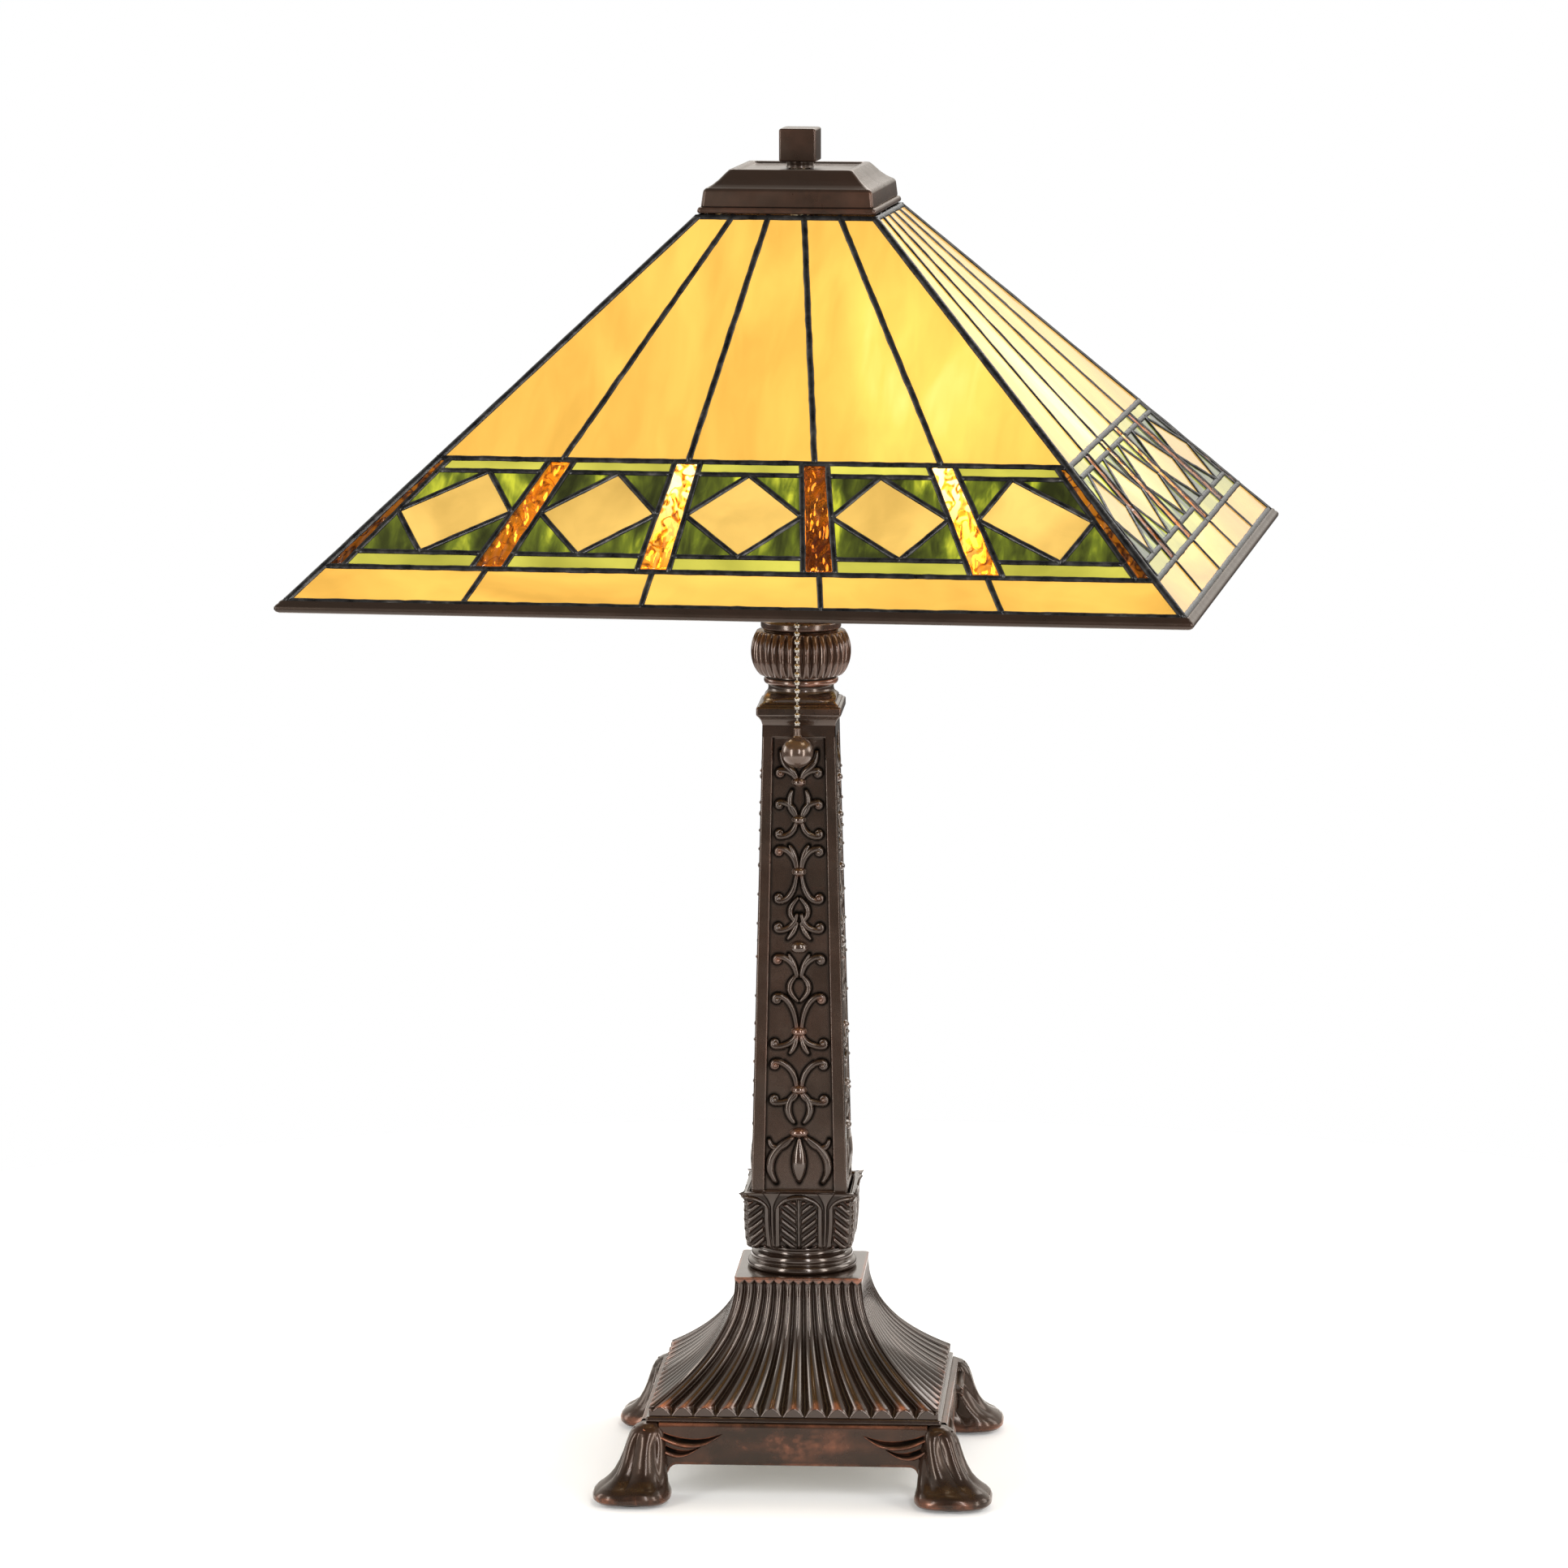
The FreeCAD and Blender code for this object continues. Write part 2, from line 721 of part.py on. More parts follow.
def socket_pieces(name, side):
    shell = turned(f"socket_shell_{name}", [
        ("0", "dims.arm_end"),
        ("dims.socket_radius - 3", "dims.arm_end"),
        ("dims.socket_radius", "dims.arm_end + 3"),
        ("dims.socket_radius", "dims.socket_end"),
        ("dims.socket_radius - dims.socket_wall", "dims.socket_end"),
        ("dims.socket_radius - dims.socket_wall", "dims.socket_floor + 1"),
        ("0", "dims.socket_floor + 1"),
    ])
    liner = turned(f"socket_liner_{name}", [
        ("dims.liner_inner", "dims.socket_floor + 1"),
        ("dims.liner_outer", "dims.socket_floor + 1"),
        ("dims.liner_outer", "dims.socket_end - 1"),
        ("dims.liner_inner", "dims.socket_end - 1"),
    ])
    base = turned(f"bulb_base_{name}", [
        ("0", "dims.bulb_tip + 0.4"),
        ("dims.bulb_tip_radius", "dims.bulb_tip + 0.4"),
        ("dims.bulb_thread_radius - 1.5", "dims.bulb_thread_start"),
        ("dims.bulb_thread_radius", "dims.bulb_thread_start + 1.5"),
        ("dims.bulb_thread_radius", "dims.bulb_thread_end"),
        ("0", "dims.bulb_thread_end"),
    ])
    globe = turned(f"bulb_glass_{name}", [
        ("0", "dims.bulb_thread_end"),
        ("dims.bulb_neck_radius", "dims.bulb_thread_end"),
        ("dims.bulb_neck_radius", "dims.bulb_neck_end"),
        ("dims.bulb_shoulder_radius", "dims.bulb_shoulder", "dims.bulb_radius", -1),
        ("dims.bulb_radius", "dims.bulb_centre", "dims.bulb_radius", -1),
        ("0", "dims.bulb_centre + dims.bulb_radius"),
        ("0", "dims.bulb_centre + dims.bulb_radius - dims.bulb_wall",
         "dims.bulb_radius - dims.bulb_wall", 1),
        ("dims.bulb_radius - dims.bulb_wall", "dims.bulb_centre"),
        ("dims.bulb_shoulder_radius - dims.bulb_wall", "dims.bulb_shoulder + 1"),
        ("dims.bulb_neck_radius - dims.bulb_wall", "dims.bulb_neck_end + 1"),
        ("dims.bulb_neck_radius - dims.bulb_wall", "dims.bulb_thread_end + dims.bulb_wall"),
        ("0", "dims.bulb_thread_end + dims.bulb_wall"),
    ])
    for piece in (shell, liner, base, globe):
        piece.Placement = arm_placement(side)


# ---------------------------------------------------------------- pull chain

def chain_bottom():
    return "(dims.pull_ball_height + dims.pull_ball_radius + 2 * dims.chain_collar_radius - 1)"


def pull_chain():
    """Beads strung on short links, hanging straight down; each bead is an arc."""
    reach = "(dims.chain_pitch / 2)"
    rise = "sqrt(pow(dims.chain_bead_radius; 2) - pow(dims.chain_link_radius; 2))"
    points = [("0", chain_bottom()), ("dims.chain_link_radius", chain_bottom())]
    for bead in range(int(size("dims.chain_beads"))):
        middle = f"({chain_bottom()} + dims.chain_pitch * {bead} + {reach})"
        points.append(("dims.chain_link_radius", f"{middle} - {rise}",
                       "dims.chain_bead_radius", -1))
        points.append(("dims.chain_bead_radius", middle, "dims.chain_bead_radius", -1))
        points.append(("dims.chain_link_radius", f"{middle} + {rise}"))
    top = f"{chain_bottom()} + dims.chain_pitch * dims.chain_beads"
    points += [("dims.chain_link_radius", top), ("0", top)]
    body = turned("pull_chain", points)
    body.setExpression("Placement.Base.y", "-dims.chain_offset")
    return body


def pull_ball():
    """The ball on the chain's end with a small round collar that grips the last link."""
    radius = "dims.pull_ball_radius"
    collar = "dims.chain_collar_radius"
    centre = "dims.pull_ball_height"
    waist = f"({collar} * 0.7)"
    shoulder = f"({centre} + sqrt(pow({radius}; 2) - pow({waist}; 2)))"
    body = turned("pull_ball", [
        ("0", f"{centre} - {radius}", radius, -1),
        (radius, centre, radius, -1),
        (waist, shoulder),
        (collar, f"{chain_bottom()} - {collar} - 0.6"),
        (collar, f"{chain_bottom()} - 1.2"),
        (waist, chain_bottom()),
        ("0", chain_bottom()),
    ])
    body.setExpression("Placement.Base.y", "-dims.chain_offset")
    return body


# ---------------------------------------------------------------- leaded shade

SIDES = ("front", "right", "back", "left")

half_drop = size("dims.rim_half - dims.aperture_half")
shade_rise = size("dims.aperture_height - dims.rim_height")
slope_length = math.hypot(half_drop, shade_rise)
slope_angle = math.degrees(math.atan2(shade_rise, half_drop))
shade_yaw = Rotation(Vector(0, 0, 1), size("dims.shade_turn"))


def side_placement(side):
    """Lays a flat panel, drawn with x along the rim and y up the slope, onto one side."""
    lean = Rotation(Vector(1, 0, 0), slope_angle)
    around = Rotation(Vector(0, 0, 1), 90 * side)
    start = around.multVec(Vector(0, -size("dims.rim_half"), size("dims.rim_height")))
    placed = Placement(start, around.multiply(lean))
    return Placement(Vector(0, 0, 0), shade_yaw).multiply(placed)


def half_width(up):
    """Half the side's width at a distance up its slope."""
    return size("dims.rim_half") - half_drop * up / slope_length


def share_up(share):
    """Distance up the slope where the side's half width is this share of the rim's."""
    return (size("dims.rim_half") - size("dims.rim_half") * share) / half_drop * slope_length


band_bottom = share_up(size("dims.band_bottom_share"))
band_top = share_up(size("dims.band_top_share"))
column_lines = [-1, -size("dims.outer_line_share"), -size("dims.inner_line_share"),
                size("dims.inner_line_share"), size("dims.outer_line_share"), 1]


def on_line(line, up):
    """Point of a fanned column line, given as a share of the half width, at a height."""
    return (column_lines[line] * half_width(up), up)


def bar_edge(line, up, side):
    """Point on one edge of the amber bar that straddles a column line, or that lies
    against the hip when the line is the first or the last."""
    share = (up - band_bottom) / (band_top - band_bottom)
    at_hip = line in (0, len(column_lines) - 1)
    low = size("dims.hip_bar_bottom" if at_hip else "dims.bar_bottom")
    high = size("dims.hip_bar_top" if at_hip else "dims.bar_top")
    width = low + (high - low) * share
    if at_hip:
        inwards = 1 if line == 0 else -1
        offset = width * inwards if side == inwards else 0
    else:
        offset = side * width / 2
    return (on_line(line, up)[0] + offset, up)


def mix(first, second, share=0.5):
    return tuple(a + (b - a) * share for a, b in zip(first, second))


def cells():
    """Every piece of glass of one side as {kind: [corner lists]}, before it is cut back
    for the lead lines. Corners run anticlockwise."""
    found = {kind: [] for kind in
             ("field_glass", "border_glass", "amber_bars", "lime_strips", "green_glass", "diamonds")}
    strip_low = band_bottom + size("dims.lower_strip")
    strip_high = band_top - size("dims.upper_strip")
    for line in range(len(column_lines)):
        corners = []
        for up, side in ((band_bottom, -1), (band_bottom, 1), (band_top, 1), (band_top, -1)):
            corners.append(bar_edge(line, up, side))
        found["amber_bars"].append(corners)
    for line in range(len(column_lines) - 1):
        after = line + 1
        found["field_glass"].append([on_line(line, band_top), on_line(after, band_top),
                                     on_line(after, slope_length), on_line(line, slope_length)])
        found["border_glass"].append([on_line(line, 0), on_line(after, 0),
                                      on_line(after, band_bottom), on_line(line, band_bottom)])
        for low, high in ((band_bottom, strip_low), (strip_high, band_top)):
            found["lime_strips"].append([bar_edge(line, low, 1), bar_edge(after, low, -1),
                                         bar_edge(after, high, -1), bar_edge(line, high, 1)])
        corners = [bar_edge(line, strip_low, 1), bar_edge(after, strip_low, -1),
                   bar_edge(after, strip_high, -1), bar_edge(line, strip_high, 1)]
        touch = [mix(corners[index], corners[(index + 1) % 4]) for index in range(4)]
        found["diamonds"].append(touch)
        for index in range(4):
            found["green_glass"].append([corners[index], touch[index], touch[index - 1]])
    return found


def is_hip(start, end):
    """Whether both ends of an edge lie on the line where two sides of the shade meet."""
    return all(abs(abs(x) - half_width(y)) < 1e-6 for x, y in (start, end))


def cut_back(corners, distance, hip_distance):
    """The same convex outline with every edge moved inwards, those at a hip further."""
    count = len(corners)
    edges = []
    for index in range(count):
        start, end = corners[index], corners[(index + 1) % count]
        length = math.dist(start, end)
        normal = ((start[1] - end[1]) / length, (end[0] - start[0]) / length)
        inwards = hip_distance if is_hip(start, end) else distance
        edges.append((normal, normal[0] * start[0] + normal[1] * start[1] + inwards))
    moved = []
    for index in range(count):
        (a1, b1), c1 = edges[index - 1]
        (a2, b2), c2 = edges[index]
        determinant = a1 * b2 - a2 * b1
        moved.append(((c1 * b2 - c2 * b1) / determinant, (a1 * c2 - a2 * c1) / determinant))
    return moved


def slab(corners, bottom, top):
    """A flat prism over an outline, between two heights above the outer face."""
    wire = Part.makePolygon([Vector(x, y, bottom) for x, y in corners + corners[:1]])
    return Part.Face(wire).extrude(Vector(0, 0, top - bottom))


def mitred_side(bottom, top):
    """One whole side as a slab whose ends are mitred to meet its neighbours at the hips."""
    wires = []
    for height in (bottom, top):
        spread = height * math.sin(math.radians(slope_angle))
        corners = []
        for sign, up in ((-1, 0), (1, 0), (1, slope_length), (-1, slope_length)):
            corners.append(Vector(sign * (half_width(up) + spread), up, height))
        wires.append(Part.makePolygon(corners + corners[:1]))
    return Part.makeLoft(wires, True, True)


def shape_node(name, shape, placement):
    """A sub-part whose outline comes from functions; its sizes are read from the sheet."""
    feature = doc.addObject("Part::Feature", name)
    feature.Shape = shape
    feature.Placement = placement
    return node(feature)


def leaded_shade():
    """Glass pieces are cut back by half a lead line; the soldered lines are what is left."""
    glass = size("dims.glass_thickness")
    proud = size("dims.came_proud")
    half_came = size("dims.came_width") / 2
    pieces = {}
    for kind, group in cells().items():
        pieces[kind] = [cut_back(corners, half_came, size("dims.hip_came")) for corners in group]
    holes = []
    for group in pieces.values():
        holes += [slab(corners, -glass - proud - 1, proud + 1) for corners in group]
    lattice = mitred_side(-glass - proud, proud).cut(Part.makeCompound(holes))
    # these kinds are one sub-part each for all four sides together
    together = {"amber_bars": [], "lime_strips": [], "diamonds": []}
    for side, name in enumerate(SIDES):
        place = side_placement(side)
        shape_node(f"solder_lines_{name}", lattice, place)
        for kind, group in pieces.items():
            solids = [slab(corners, -glass, 0) for corners in group]
            if kind in together:
                for solid in solids:
                    solid.Placement = place
                    together[kind].append(solid)
            else:
                shape_node(f"{kind}_{name}", Part.makeCompound(solids), place)
    for kind, solids in together.items():
        shape_node(kind, Part.makeCompound(solids), Placement())


def turn_with_shade(body):
    """Turns a piece of the shade about the lamp's axis with the rest of the shade."""
    body.Placement = Placement(Vector(0, 0, 0), Rotation(Vector(0, 0, 1), size("dims.shade_turn")))
    return node(body)


def rim_channel():
    """The metal channel that the shade's bottom edge stands in."""
    body = new_body("rim_channel")
    square_loft(body, "channel", [
        ("dims.channel_bottom", "dims.channel_bottom_outer"),
        ("dims.channel_outer_height", "dims.channel_outer_half"),
        ("dims.channel_top", "dims.channel_top_outer"),
    ])
    before = body_volume(body)
    square_loft(body, "channel_hollow", [
        ("dims.channel_bottom", "dims.channel_bottom_inner"),
        ("dims.channel_inner_height", "dims.channel_inner_half"),
        ("dims.channel_top", "dims.channel_top_inner"),
    ], subtract=True)
    if body_volume(body) >= before:
        raise RuntimeError("the rim channel's hollow cuts nothing")
    return turn_with_shade(body)


def shade_spider():
    """The ring soldered inside the aperture, with four arms to a hub on the riser rod."""
    body = new_body("shade_spider")
    ring = square(body, "spider_ring_outline", "dims.spider_ring_half", "dims.spider_bottom")
    pad(body, "spider_ring", ring, "dims.spider_ring_height")
    opening = square(body, "spider_ring_opening",
                     "dims.spider_ring_half - dims.spider_ring_wall", "dims.spider_bottom")
    pocket(body, "spider_ring_hollow", opening, "dims.spider_ring_height")
    hub = circle(new_sketch(body, "spider_hub_circle", "XY_Plane", "dims.spider_bottom"),
                 "dims.spider_hub_radius")
    pad(body, "spider_hub", hub, "dims.spider_thickness")
    for name, wide in (("across", True), ("along", False)):
        sketch = new_sketch(body, f"spider_arm_{name}", "XY_Plane", "dims.spider_bottom")
        reach = "dims.spider_ring_half - dims.spider_ring_wall / 2"
        half = "dims.spider_arm_half"
        if wide:
            rectangle(sketch, f"-({reach})", reach, f"-{half}", half)
        else:
            rectangle(sketch, f"-{half}", half, f"-({reach})", reach)
        pad(body, f"spider_arms_{name}", sketch, "dims.spider_thickness")
    pipe_hole(body, "dims.spider_bore")
    return turn_with_shade(body)


def vase_cap():
    """The stepped square cap: lip, upright band, hollow cove, and a sunk flat top."""
    body = new_body("vase_cap")
    lip = square(body, "cap_lip_outline", "dims.cap_lip_half", "dims.cap_bottom")
    pad(body, "cap_lip", lip, "dims.cap_lip_top - dims.cap_bottom")
    square_loft(body, "cap_band", [
        ("dims.cap_lip_top", "dims.cap_band_half"),
        ("dims.cap_band_top", "dims.cap_band_top_half"),
    ])
    square_loft(body, "cap_cove", [
        ("dims.cap_band_top", "dims.cap_shelf_half"),
        ("dims.cap_cove_height", "dims.cap_cove_half"),
        ("dims.cap_top", "dims.cap_top_half"),
    ])
    under = "dims.cap_top - dims.cap_recess_depth - dims.cap_wall"
    before = body_volume(body)
    square_loft(body, "cap_hollow", [
        ("dims.cap_bottom", "dims.cap_band_half - dims.cap_wall"),
        ("dims.cap_band_top - 1", "dims.cap_shelf_half - dims.cap_wall"),
        (under, "dims.cap_top_half - 1"),
    ], subtract=True)
    if body_volume(body) >= before:
        raise RuntimeError("the cap's hollow cuts nothing")
    recess = square(body, "cap_recess_outline", "dims.cap_recess_half",
                    "dims.cap_top - dims.cap_recess_depth")
    pocket(body, "cap_recess", recess, "dims.cap_recess_depth + 1")
    pipe_hole(body, "dims.cap_bore")
    return turn_with_shade(body)


def finial():
    """The square block that screws onto the riser rod and holds the cap down."""
    body = new_body("finial")
    neck_bottom = "dims.cap_top - dims.cap_recess_depth + dims.finial_gap"
    neck = circle(new_sketch(body, "finial_neck_circle", "XY_Plane", neck_bottom),
                  "dims.finial_neck_radius")
    pad(body, "finial_neck", neck, f"dims.finial_bottom - ({neck_bottom})")
    square_loft(body, "finial_block", [
        ("dims.finial_bottom", "dims.finial_half - dims.finial_chamfer / 2"),
        ("dims.finial_bottom + dims.finial_chamfer / 2", "dims.finial_half"),
        ("dims.finial_top - dims.finial_chamfer", "dims.finial_half"),
        ("dims.finial_top", "dims.finial_half - dims.finial_chamfer"),
    ])
    thread = circle(new_sketch(body, "finial_thread_circle", "XY_Plane", neck_bottom),
                    "dims.finial_bore")
    pocket(body, "finial_thread", thread, f"dims.riser_top + 1 - ({neck_bottom})")
    return turn_with_shade(body)


# ---------------------------------------------------------------- the whole lamp

felt_pads()
plinth_frame()
base_plate()
ballast_weight()
cord_bushing()
fluted_dome()
stepped_ring()
leaf_collar()
column_shaft()
column_capital()
neck_ring()
gadrooned_knop()
knop_cup()
rod("lamp_pipe", "dims.pipe_radius", "dims.pipe_bottom", "dims.pipe_top")
washer("pipe_washer", "dims.washer_radius",
       "dims.base_plate_bottom - dims.washer_thickness", "dims.washer_thickness")
hex_nut("pipe_nut", "dims.pipe_nut_across",
        "dims.base_plate_bottom - dims.washer_thickness - dims.pipe_nut_height",
        "dims.pipe_nut_height", "dims.pipe_bore")
cluster_body()
chain_guide()
for side_name, side_sign in (("left", -1), ("right", 1)):
    socket_pieces(side_name, side_sign)
pull_chain()
pull_ball()
rod("riser_rod", "dims.pipe_radius", "dims.riser_bottom", "dims.riser_top")
hex_nut("riser_locknut", "dims.locknut_across", "dims.hub_top", "dims.locknut_height",
        "dims.pipe_bore")
hex_nut("riser_nut", "dims.riser_nut_across", "dims.riser_nut_bottom", "dims.riser_nut_height",
        "dims.pipe_bore")
leaded_shade()
rim_channel()
shade_spider()
vase_cap()
finial()

doc.recompute()
for thing in doc.Objects:
    if any(flag in thing.State for flag in ("Invalid", "Error")):
        raise RuntimeError(f"{thing.Name} failed: {thing.State}")
for thing in nodes:
    if thing.Shape.isNull() or not thing.Shape.isValid():
        raise RuntimeError(f"{thing.Label} has no valid shape")

os.makedirs("parts", exist_ok=True)
for thing in nodes:
    thing.Shape.exportStep(os.path.join("parts", f"{thing.Label}.step"))
print(len(nodes), "sub-parts written")
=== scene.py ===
import json
import math

import bpy
import numpy as np
from mathutils.kdtree import KDTree
from mathutils import Euler, Matrix, Vector, noise


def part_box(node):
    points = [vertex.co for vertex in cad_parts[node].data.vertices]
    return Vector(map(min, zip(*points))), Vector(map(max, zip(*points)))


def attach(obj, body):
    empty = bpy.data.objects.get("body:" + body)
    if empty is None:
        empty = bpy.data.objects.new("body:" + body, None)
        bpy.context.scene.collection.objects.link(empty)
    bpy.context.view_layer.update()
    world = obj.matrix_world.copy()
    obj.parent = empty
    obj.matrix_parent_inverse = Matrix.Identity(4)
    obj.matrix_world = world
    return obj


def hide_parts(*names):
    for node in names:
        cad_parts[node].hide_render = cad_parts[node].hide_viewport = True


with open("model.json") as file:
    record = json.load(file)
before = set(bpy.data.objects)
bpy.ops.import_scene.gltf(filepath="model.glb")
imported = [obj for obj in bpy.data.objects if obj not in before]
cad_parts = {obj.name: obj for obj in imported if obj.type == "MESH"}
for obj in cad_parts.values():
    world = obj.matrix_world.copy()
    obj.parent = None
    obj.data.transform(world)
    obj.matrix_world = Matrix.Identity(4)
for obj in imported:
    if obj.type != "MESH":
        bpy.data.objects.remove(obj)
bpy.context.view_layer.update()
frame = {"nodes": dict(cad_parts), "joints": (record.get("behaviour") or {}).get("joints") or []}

# Looks for a stained glass table lamp: a square shade of leaded opalescent glass on a
# cast column with an antique bronze finish. +Z up, the front faces -Y. Shapes are worked
# out in millimetres, and piece() brings them to metres.

MM = 0.001
QUARTER = math.radians(90)
SIDES = ("front", "right", "back", "left")


def heights(node):
    """Bottom and top of a CAD node at rest, in millimetres."""
    low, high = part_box(node)
    return low[2] / MM, high[2] / MM


def unit(value):
    """The value, held between 0 and 1."""
    return max(0.0, min(1.0, value))


def wander(x, y, z):
    """Smooth noise at a place, from about -1 to 1."""
    return noise.noise(Vector((x, y, z)))


def circle(count):
    """Evenly spaced angles once round."""
    return [2 * math.pi * index / count for index in range(count)]


def arc(radius, middle, first, last, steps):
    """Outline points on a circle about a place on the axis, between two angles in degrees."""
    angles = [math.radians(first + (last - first) * step / steps) for step in range(steps + 1)]
    return [(radius * math.cos(angle), middle + radius * math.sin(angle)) for angle in angles]


# ================================================================ node trees

class Tree:
    """Small helper that builds a material's or a world's node tree."""

    def __init__(self, owner):
        owner.use_nodes = True
        self.tree = owner.node_tree
        self.tree.nodes.clear()

    def add(self, kind, sockets=None, **settings):
        """A node with its settings; sockets gives inputs a value or another node's output."""
        made = self.tree.nodes.new("ShaderNode" + kind)
        for key, value in settings.items():
            setattr(made, key, value)
        for socket, value in (sockets or {}).items():
            target = made.inputs[socket]
            if isinstance(value, bpy.types.NodeSocket):
                self.tree.links.new(value, target)
            elif target.type == "RGBA":
                target.default_value = (*value, 1)
            else:
                target.default_value = value
        return made

    def place(self, kind="Object"):
        return self.add("TexCoord").outputs[kind]

    def stretched(self, vector, scale):
        return self.add("Mapping", {"Vector": vector, "Scale": scale}).outputs["Vector"]

    def noise(self, vector, scale, detail=3.0, roughness=0.5, distortion=0.0):
        return self.add("TexNoise", {"Vector": vector, "Scale": scale, "Detail": detail,
                                     "Roughness": roughness,
                                     "Distortion": distortion}).outputs["Fac"]

    def math(self, operation, *values, clamp=False):
        made = self.add("Math", dict(enumerate(values)), operation=operation, use_clamp=clamp)
        return made.outputs[0]

    def spread(self, value, low, high, out_low=0.0, out_high=1.0):
        """Map Range with clamping."""
        return self.add("MapRange", {"Value": value, "From Min": low, "From Max": high,
                                     "To Min": out_low, "To Max": out_high},
                        clamp=True).outputs["Result"]

    def ramp(self, value, *stops):
        made = self.add("ValToRGB", {"Fac": value})
        ramp = made.color_ramp
        while len(ramp.elements) < len(stops):
            ramp.elements.new(0.5)
        for element, (place, colour) in zip(ramp.elements, stops):
            element.position = place
            element.color = (*colour, 1)
        return made.outputs["Color"]

    def mix(self, share, first, second):
        """Mix of two colours, by the colour sockets of the Mix node."""
        factor, colour_a, colour_b, result = 0, 6, 7, 2
        return self.add("Mix", {factor: share, colour_a: first, colour_b: second},
                        data_type="RGBA").outputs[result]

    def bump(self, height, distance, strength, under=None):
        sockets = {"Strength": strength, "Distance": distance, "Height": height}
        if under is not None:
            sockets["Normal"] = under
        return self.add("Bump", sockets).outputs["Normal"]

    def attribute(self, name):
        return self.add("Attribute", attribute_name=name).outputs["Fac"]

    def surface(self, **sockets):
        """Principled surface; underscores in the sockets' names stand for spaces."""
        named = {socket.replace("_", " "): value for socket, value in sockets.items()}
        shader = self.add("BsdfPrincipled", named)
        self.add("OutputMaterial", {"Surface": shader.outputs["BSDF"]})


MATERIALS = {}


def material(name):
    MATERIALS[name] = bpy.data.materials.new(name)
    return Tree(MATERIALS[name])


# ================================================================ materials

DARK_BRONZE = (0.027, 0.016, 0.0105)
WARM_BRONZE = (0.064, 0.029, 0.018)
# black of the hollows: black patina and painted shade
HOLLOW_PATINA_AND_SHADE = (0.003, 0.0025, 0.002)
COPPER = (0.42, 0.145, 0.075)


def bronze(name, rub=1.0, roughness=0.24, warmth=0.45, dark=DARK_BRONZE, shine=0.85, gloss=0.55):
    """Dark lacquered bronze patina, rubbed to copper where the wear attribute is high and
    nearly black, as black patina and painted shade, where the hollow attribute is."""
    tree = material(name)
    where = tree.place()
    mottle = tree.noise(where, 22.0, 4.0, 0.6)
    fine = tree.noise(where, 240.0, 3.0, 0.6)
    smear = tree.noise(where, 70.0, 3.0, 0.6)
    sunk = tree.attribute("hollow")
    body = tree.mix(tree.spread(mottle, 0.38, 0.70, 0.0, warmth), dark, WARM_BRONZE)
    worn = tree.math("MULTIPLY", tree.attribute("wear"), rub)
    patchy = tree.math("MULTIPLY_ADD", mottle, 1.3, tree.math("MULTIPLY", fine, 0.5))
    mask = tree.math("MULTIPLY", worn, tree.spread(patchy, 0.80, 1.12, 0.10, 1.15), clamp=True)
    rough = tree.spread(smear, 0.35, 0.65, roughness - 0.04, roughness + 0.05)
    rough = tree.math("MULTIPLY_ADD", mask, 0.10, rough)
    # painted shade and black patina: a hollow neither shines nor has a coat, so it stays black
    tree.surface(Base_Color=tree.mix(mask, tree.mix(sunk, body, HOLLOW_PATINA_AND_SHADE), COPPER),
                 Roughness=tree.math("MULTIPLY_ADD", sunk, 0.3, rough),
                 Metallic=tree.spread(sunk, 0.0, 1.0, 0.40, 1.0),
                 Coat_Weight=tree.spread(sunk, 0.0, 0.8, gloss, 0.0), Coat_Roughness=0.12,
                 Specular_IOR_Level=shine, Specular_Tint=(1.0, 0.84, 0.72), IOR=1.5,
                 Normal=tree.bump(smear, 0.00030, 0.1, tree.bump(fine, 0.00003, 0.3)))


def plain_metal(name, colour, roughness):
    """Bare or plated metal with a fine grain and slight colour drift."""
    tree = material(name)
    drift = tree.noise(tree.place(), 40.0)
    grain = tree.noise(tree.stretched(tree.place(), (60, 60, 60)), 14.0)
    darker = tuple(c * 0.72 for c in colour)
    tree.surface(Base_Color=tree.mix(tree.spread(drift, 0.35, 0.7), colour, darker), Metallic=1.0,
                 Roughness=tree.spread(grain, 0.3, 0.7, roughness * 0.8, roughness * 1.3),
                 Normal=tree.bump(grain, 0.00005, 0.6))


def matt(name, colour, roughness, scale, depth):
    """Felt, fibre board, cast iron and plastic: matt, with a grain of its own size."""
    tree = material(name)
    where = tree.place()
    grain = tree.noise(where, scale, 5.0, 0.7)
    drift = tree.noise(where, 60.0, 2.0)
    lighter = tuple(min(1.0, c * 1.45 + 0.01) for c in colour)
    shade = tree.mix(tree.spread(drift, 0.3, 0.7), colour, lighter)
    tree.surface(Base_Color=tree.mix(tree.spread(grain, 0.35, 0.75, 0.0, 0.5), shade, lighter),
                 Roughness=tree.spread(grain, 0.2, 0.8, roughness - 0.08, roughness + 0.08),
                 Normal=tree.bump(grain, depth, 0.8), Metallic=0.0)


BULBS = ("left", "right")
SOCKET_REACH = 40.0      # from the middle of the cluster out to a bulb's joint
BULB_REACH = 92.3        # from there to the middle of the bulb's round glass
BULB_RADIUS = 29.0


def bulb_line(name):
    """Where a bulb's axis starts in the middle of the cluster, and the axis, both taken from
    its joint."""
    joint = next(j for j in frame["joints"] if j["name"] == f"bulb_{name}_unscrew")
    axis = Vector(joint["axis"]).normalized()
    return Vector(joint["pos_m"]) / MM - axis * SOCKET_REACH, axis


# the shade: half widths and heights of the glass at its rim and at the cap's opening
SHADE_TURN = math.radians(-5.26)
RIM_HALF, RIM_HEIGHT = 212.0, 460.0
APERTURE_HALF, APERTURE_HEIGHT = 43.3, 629.4
GLOW_REACH = 0.085       # metres from a bulb to where its light has fallen to 1 / e
GLOW_GAIN = 1.6


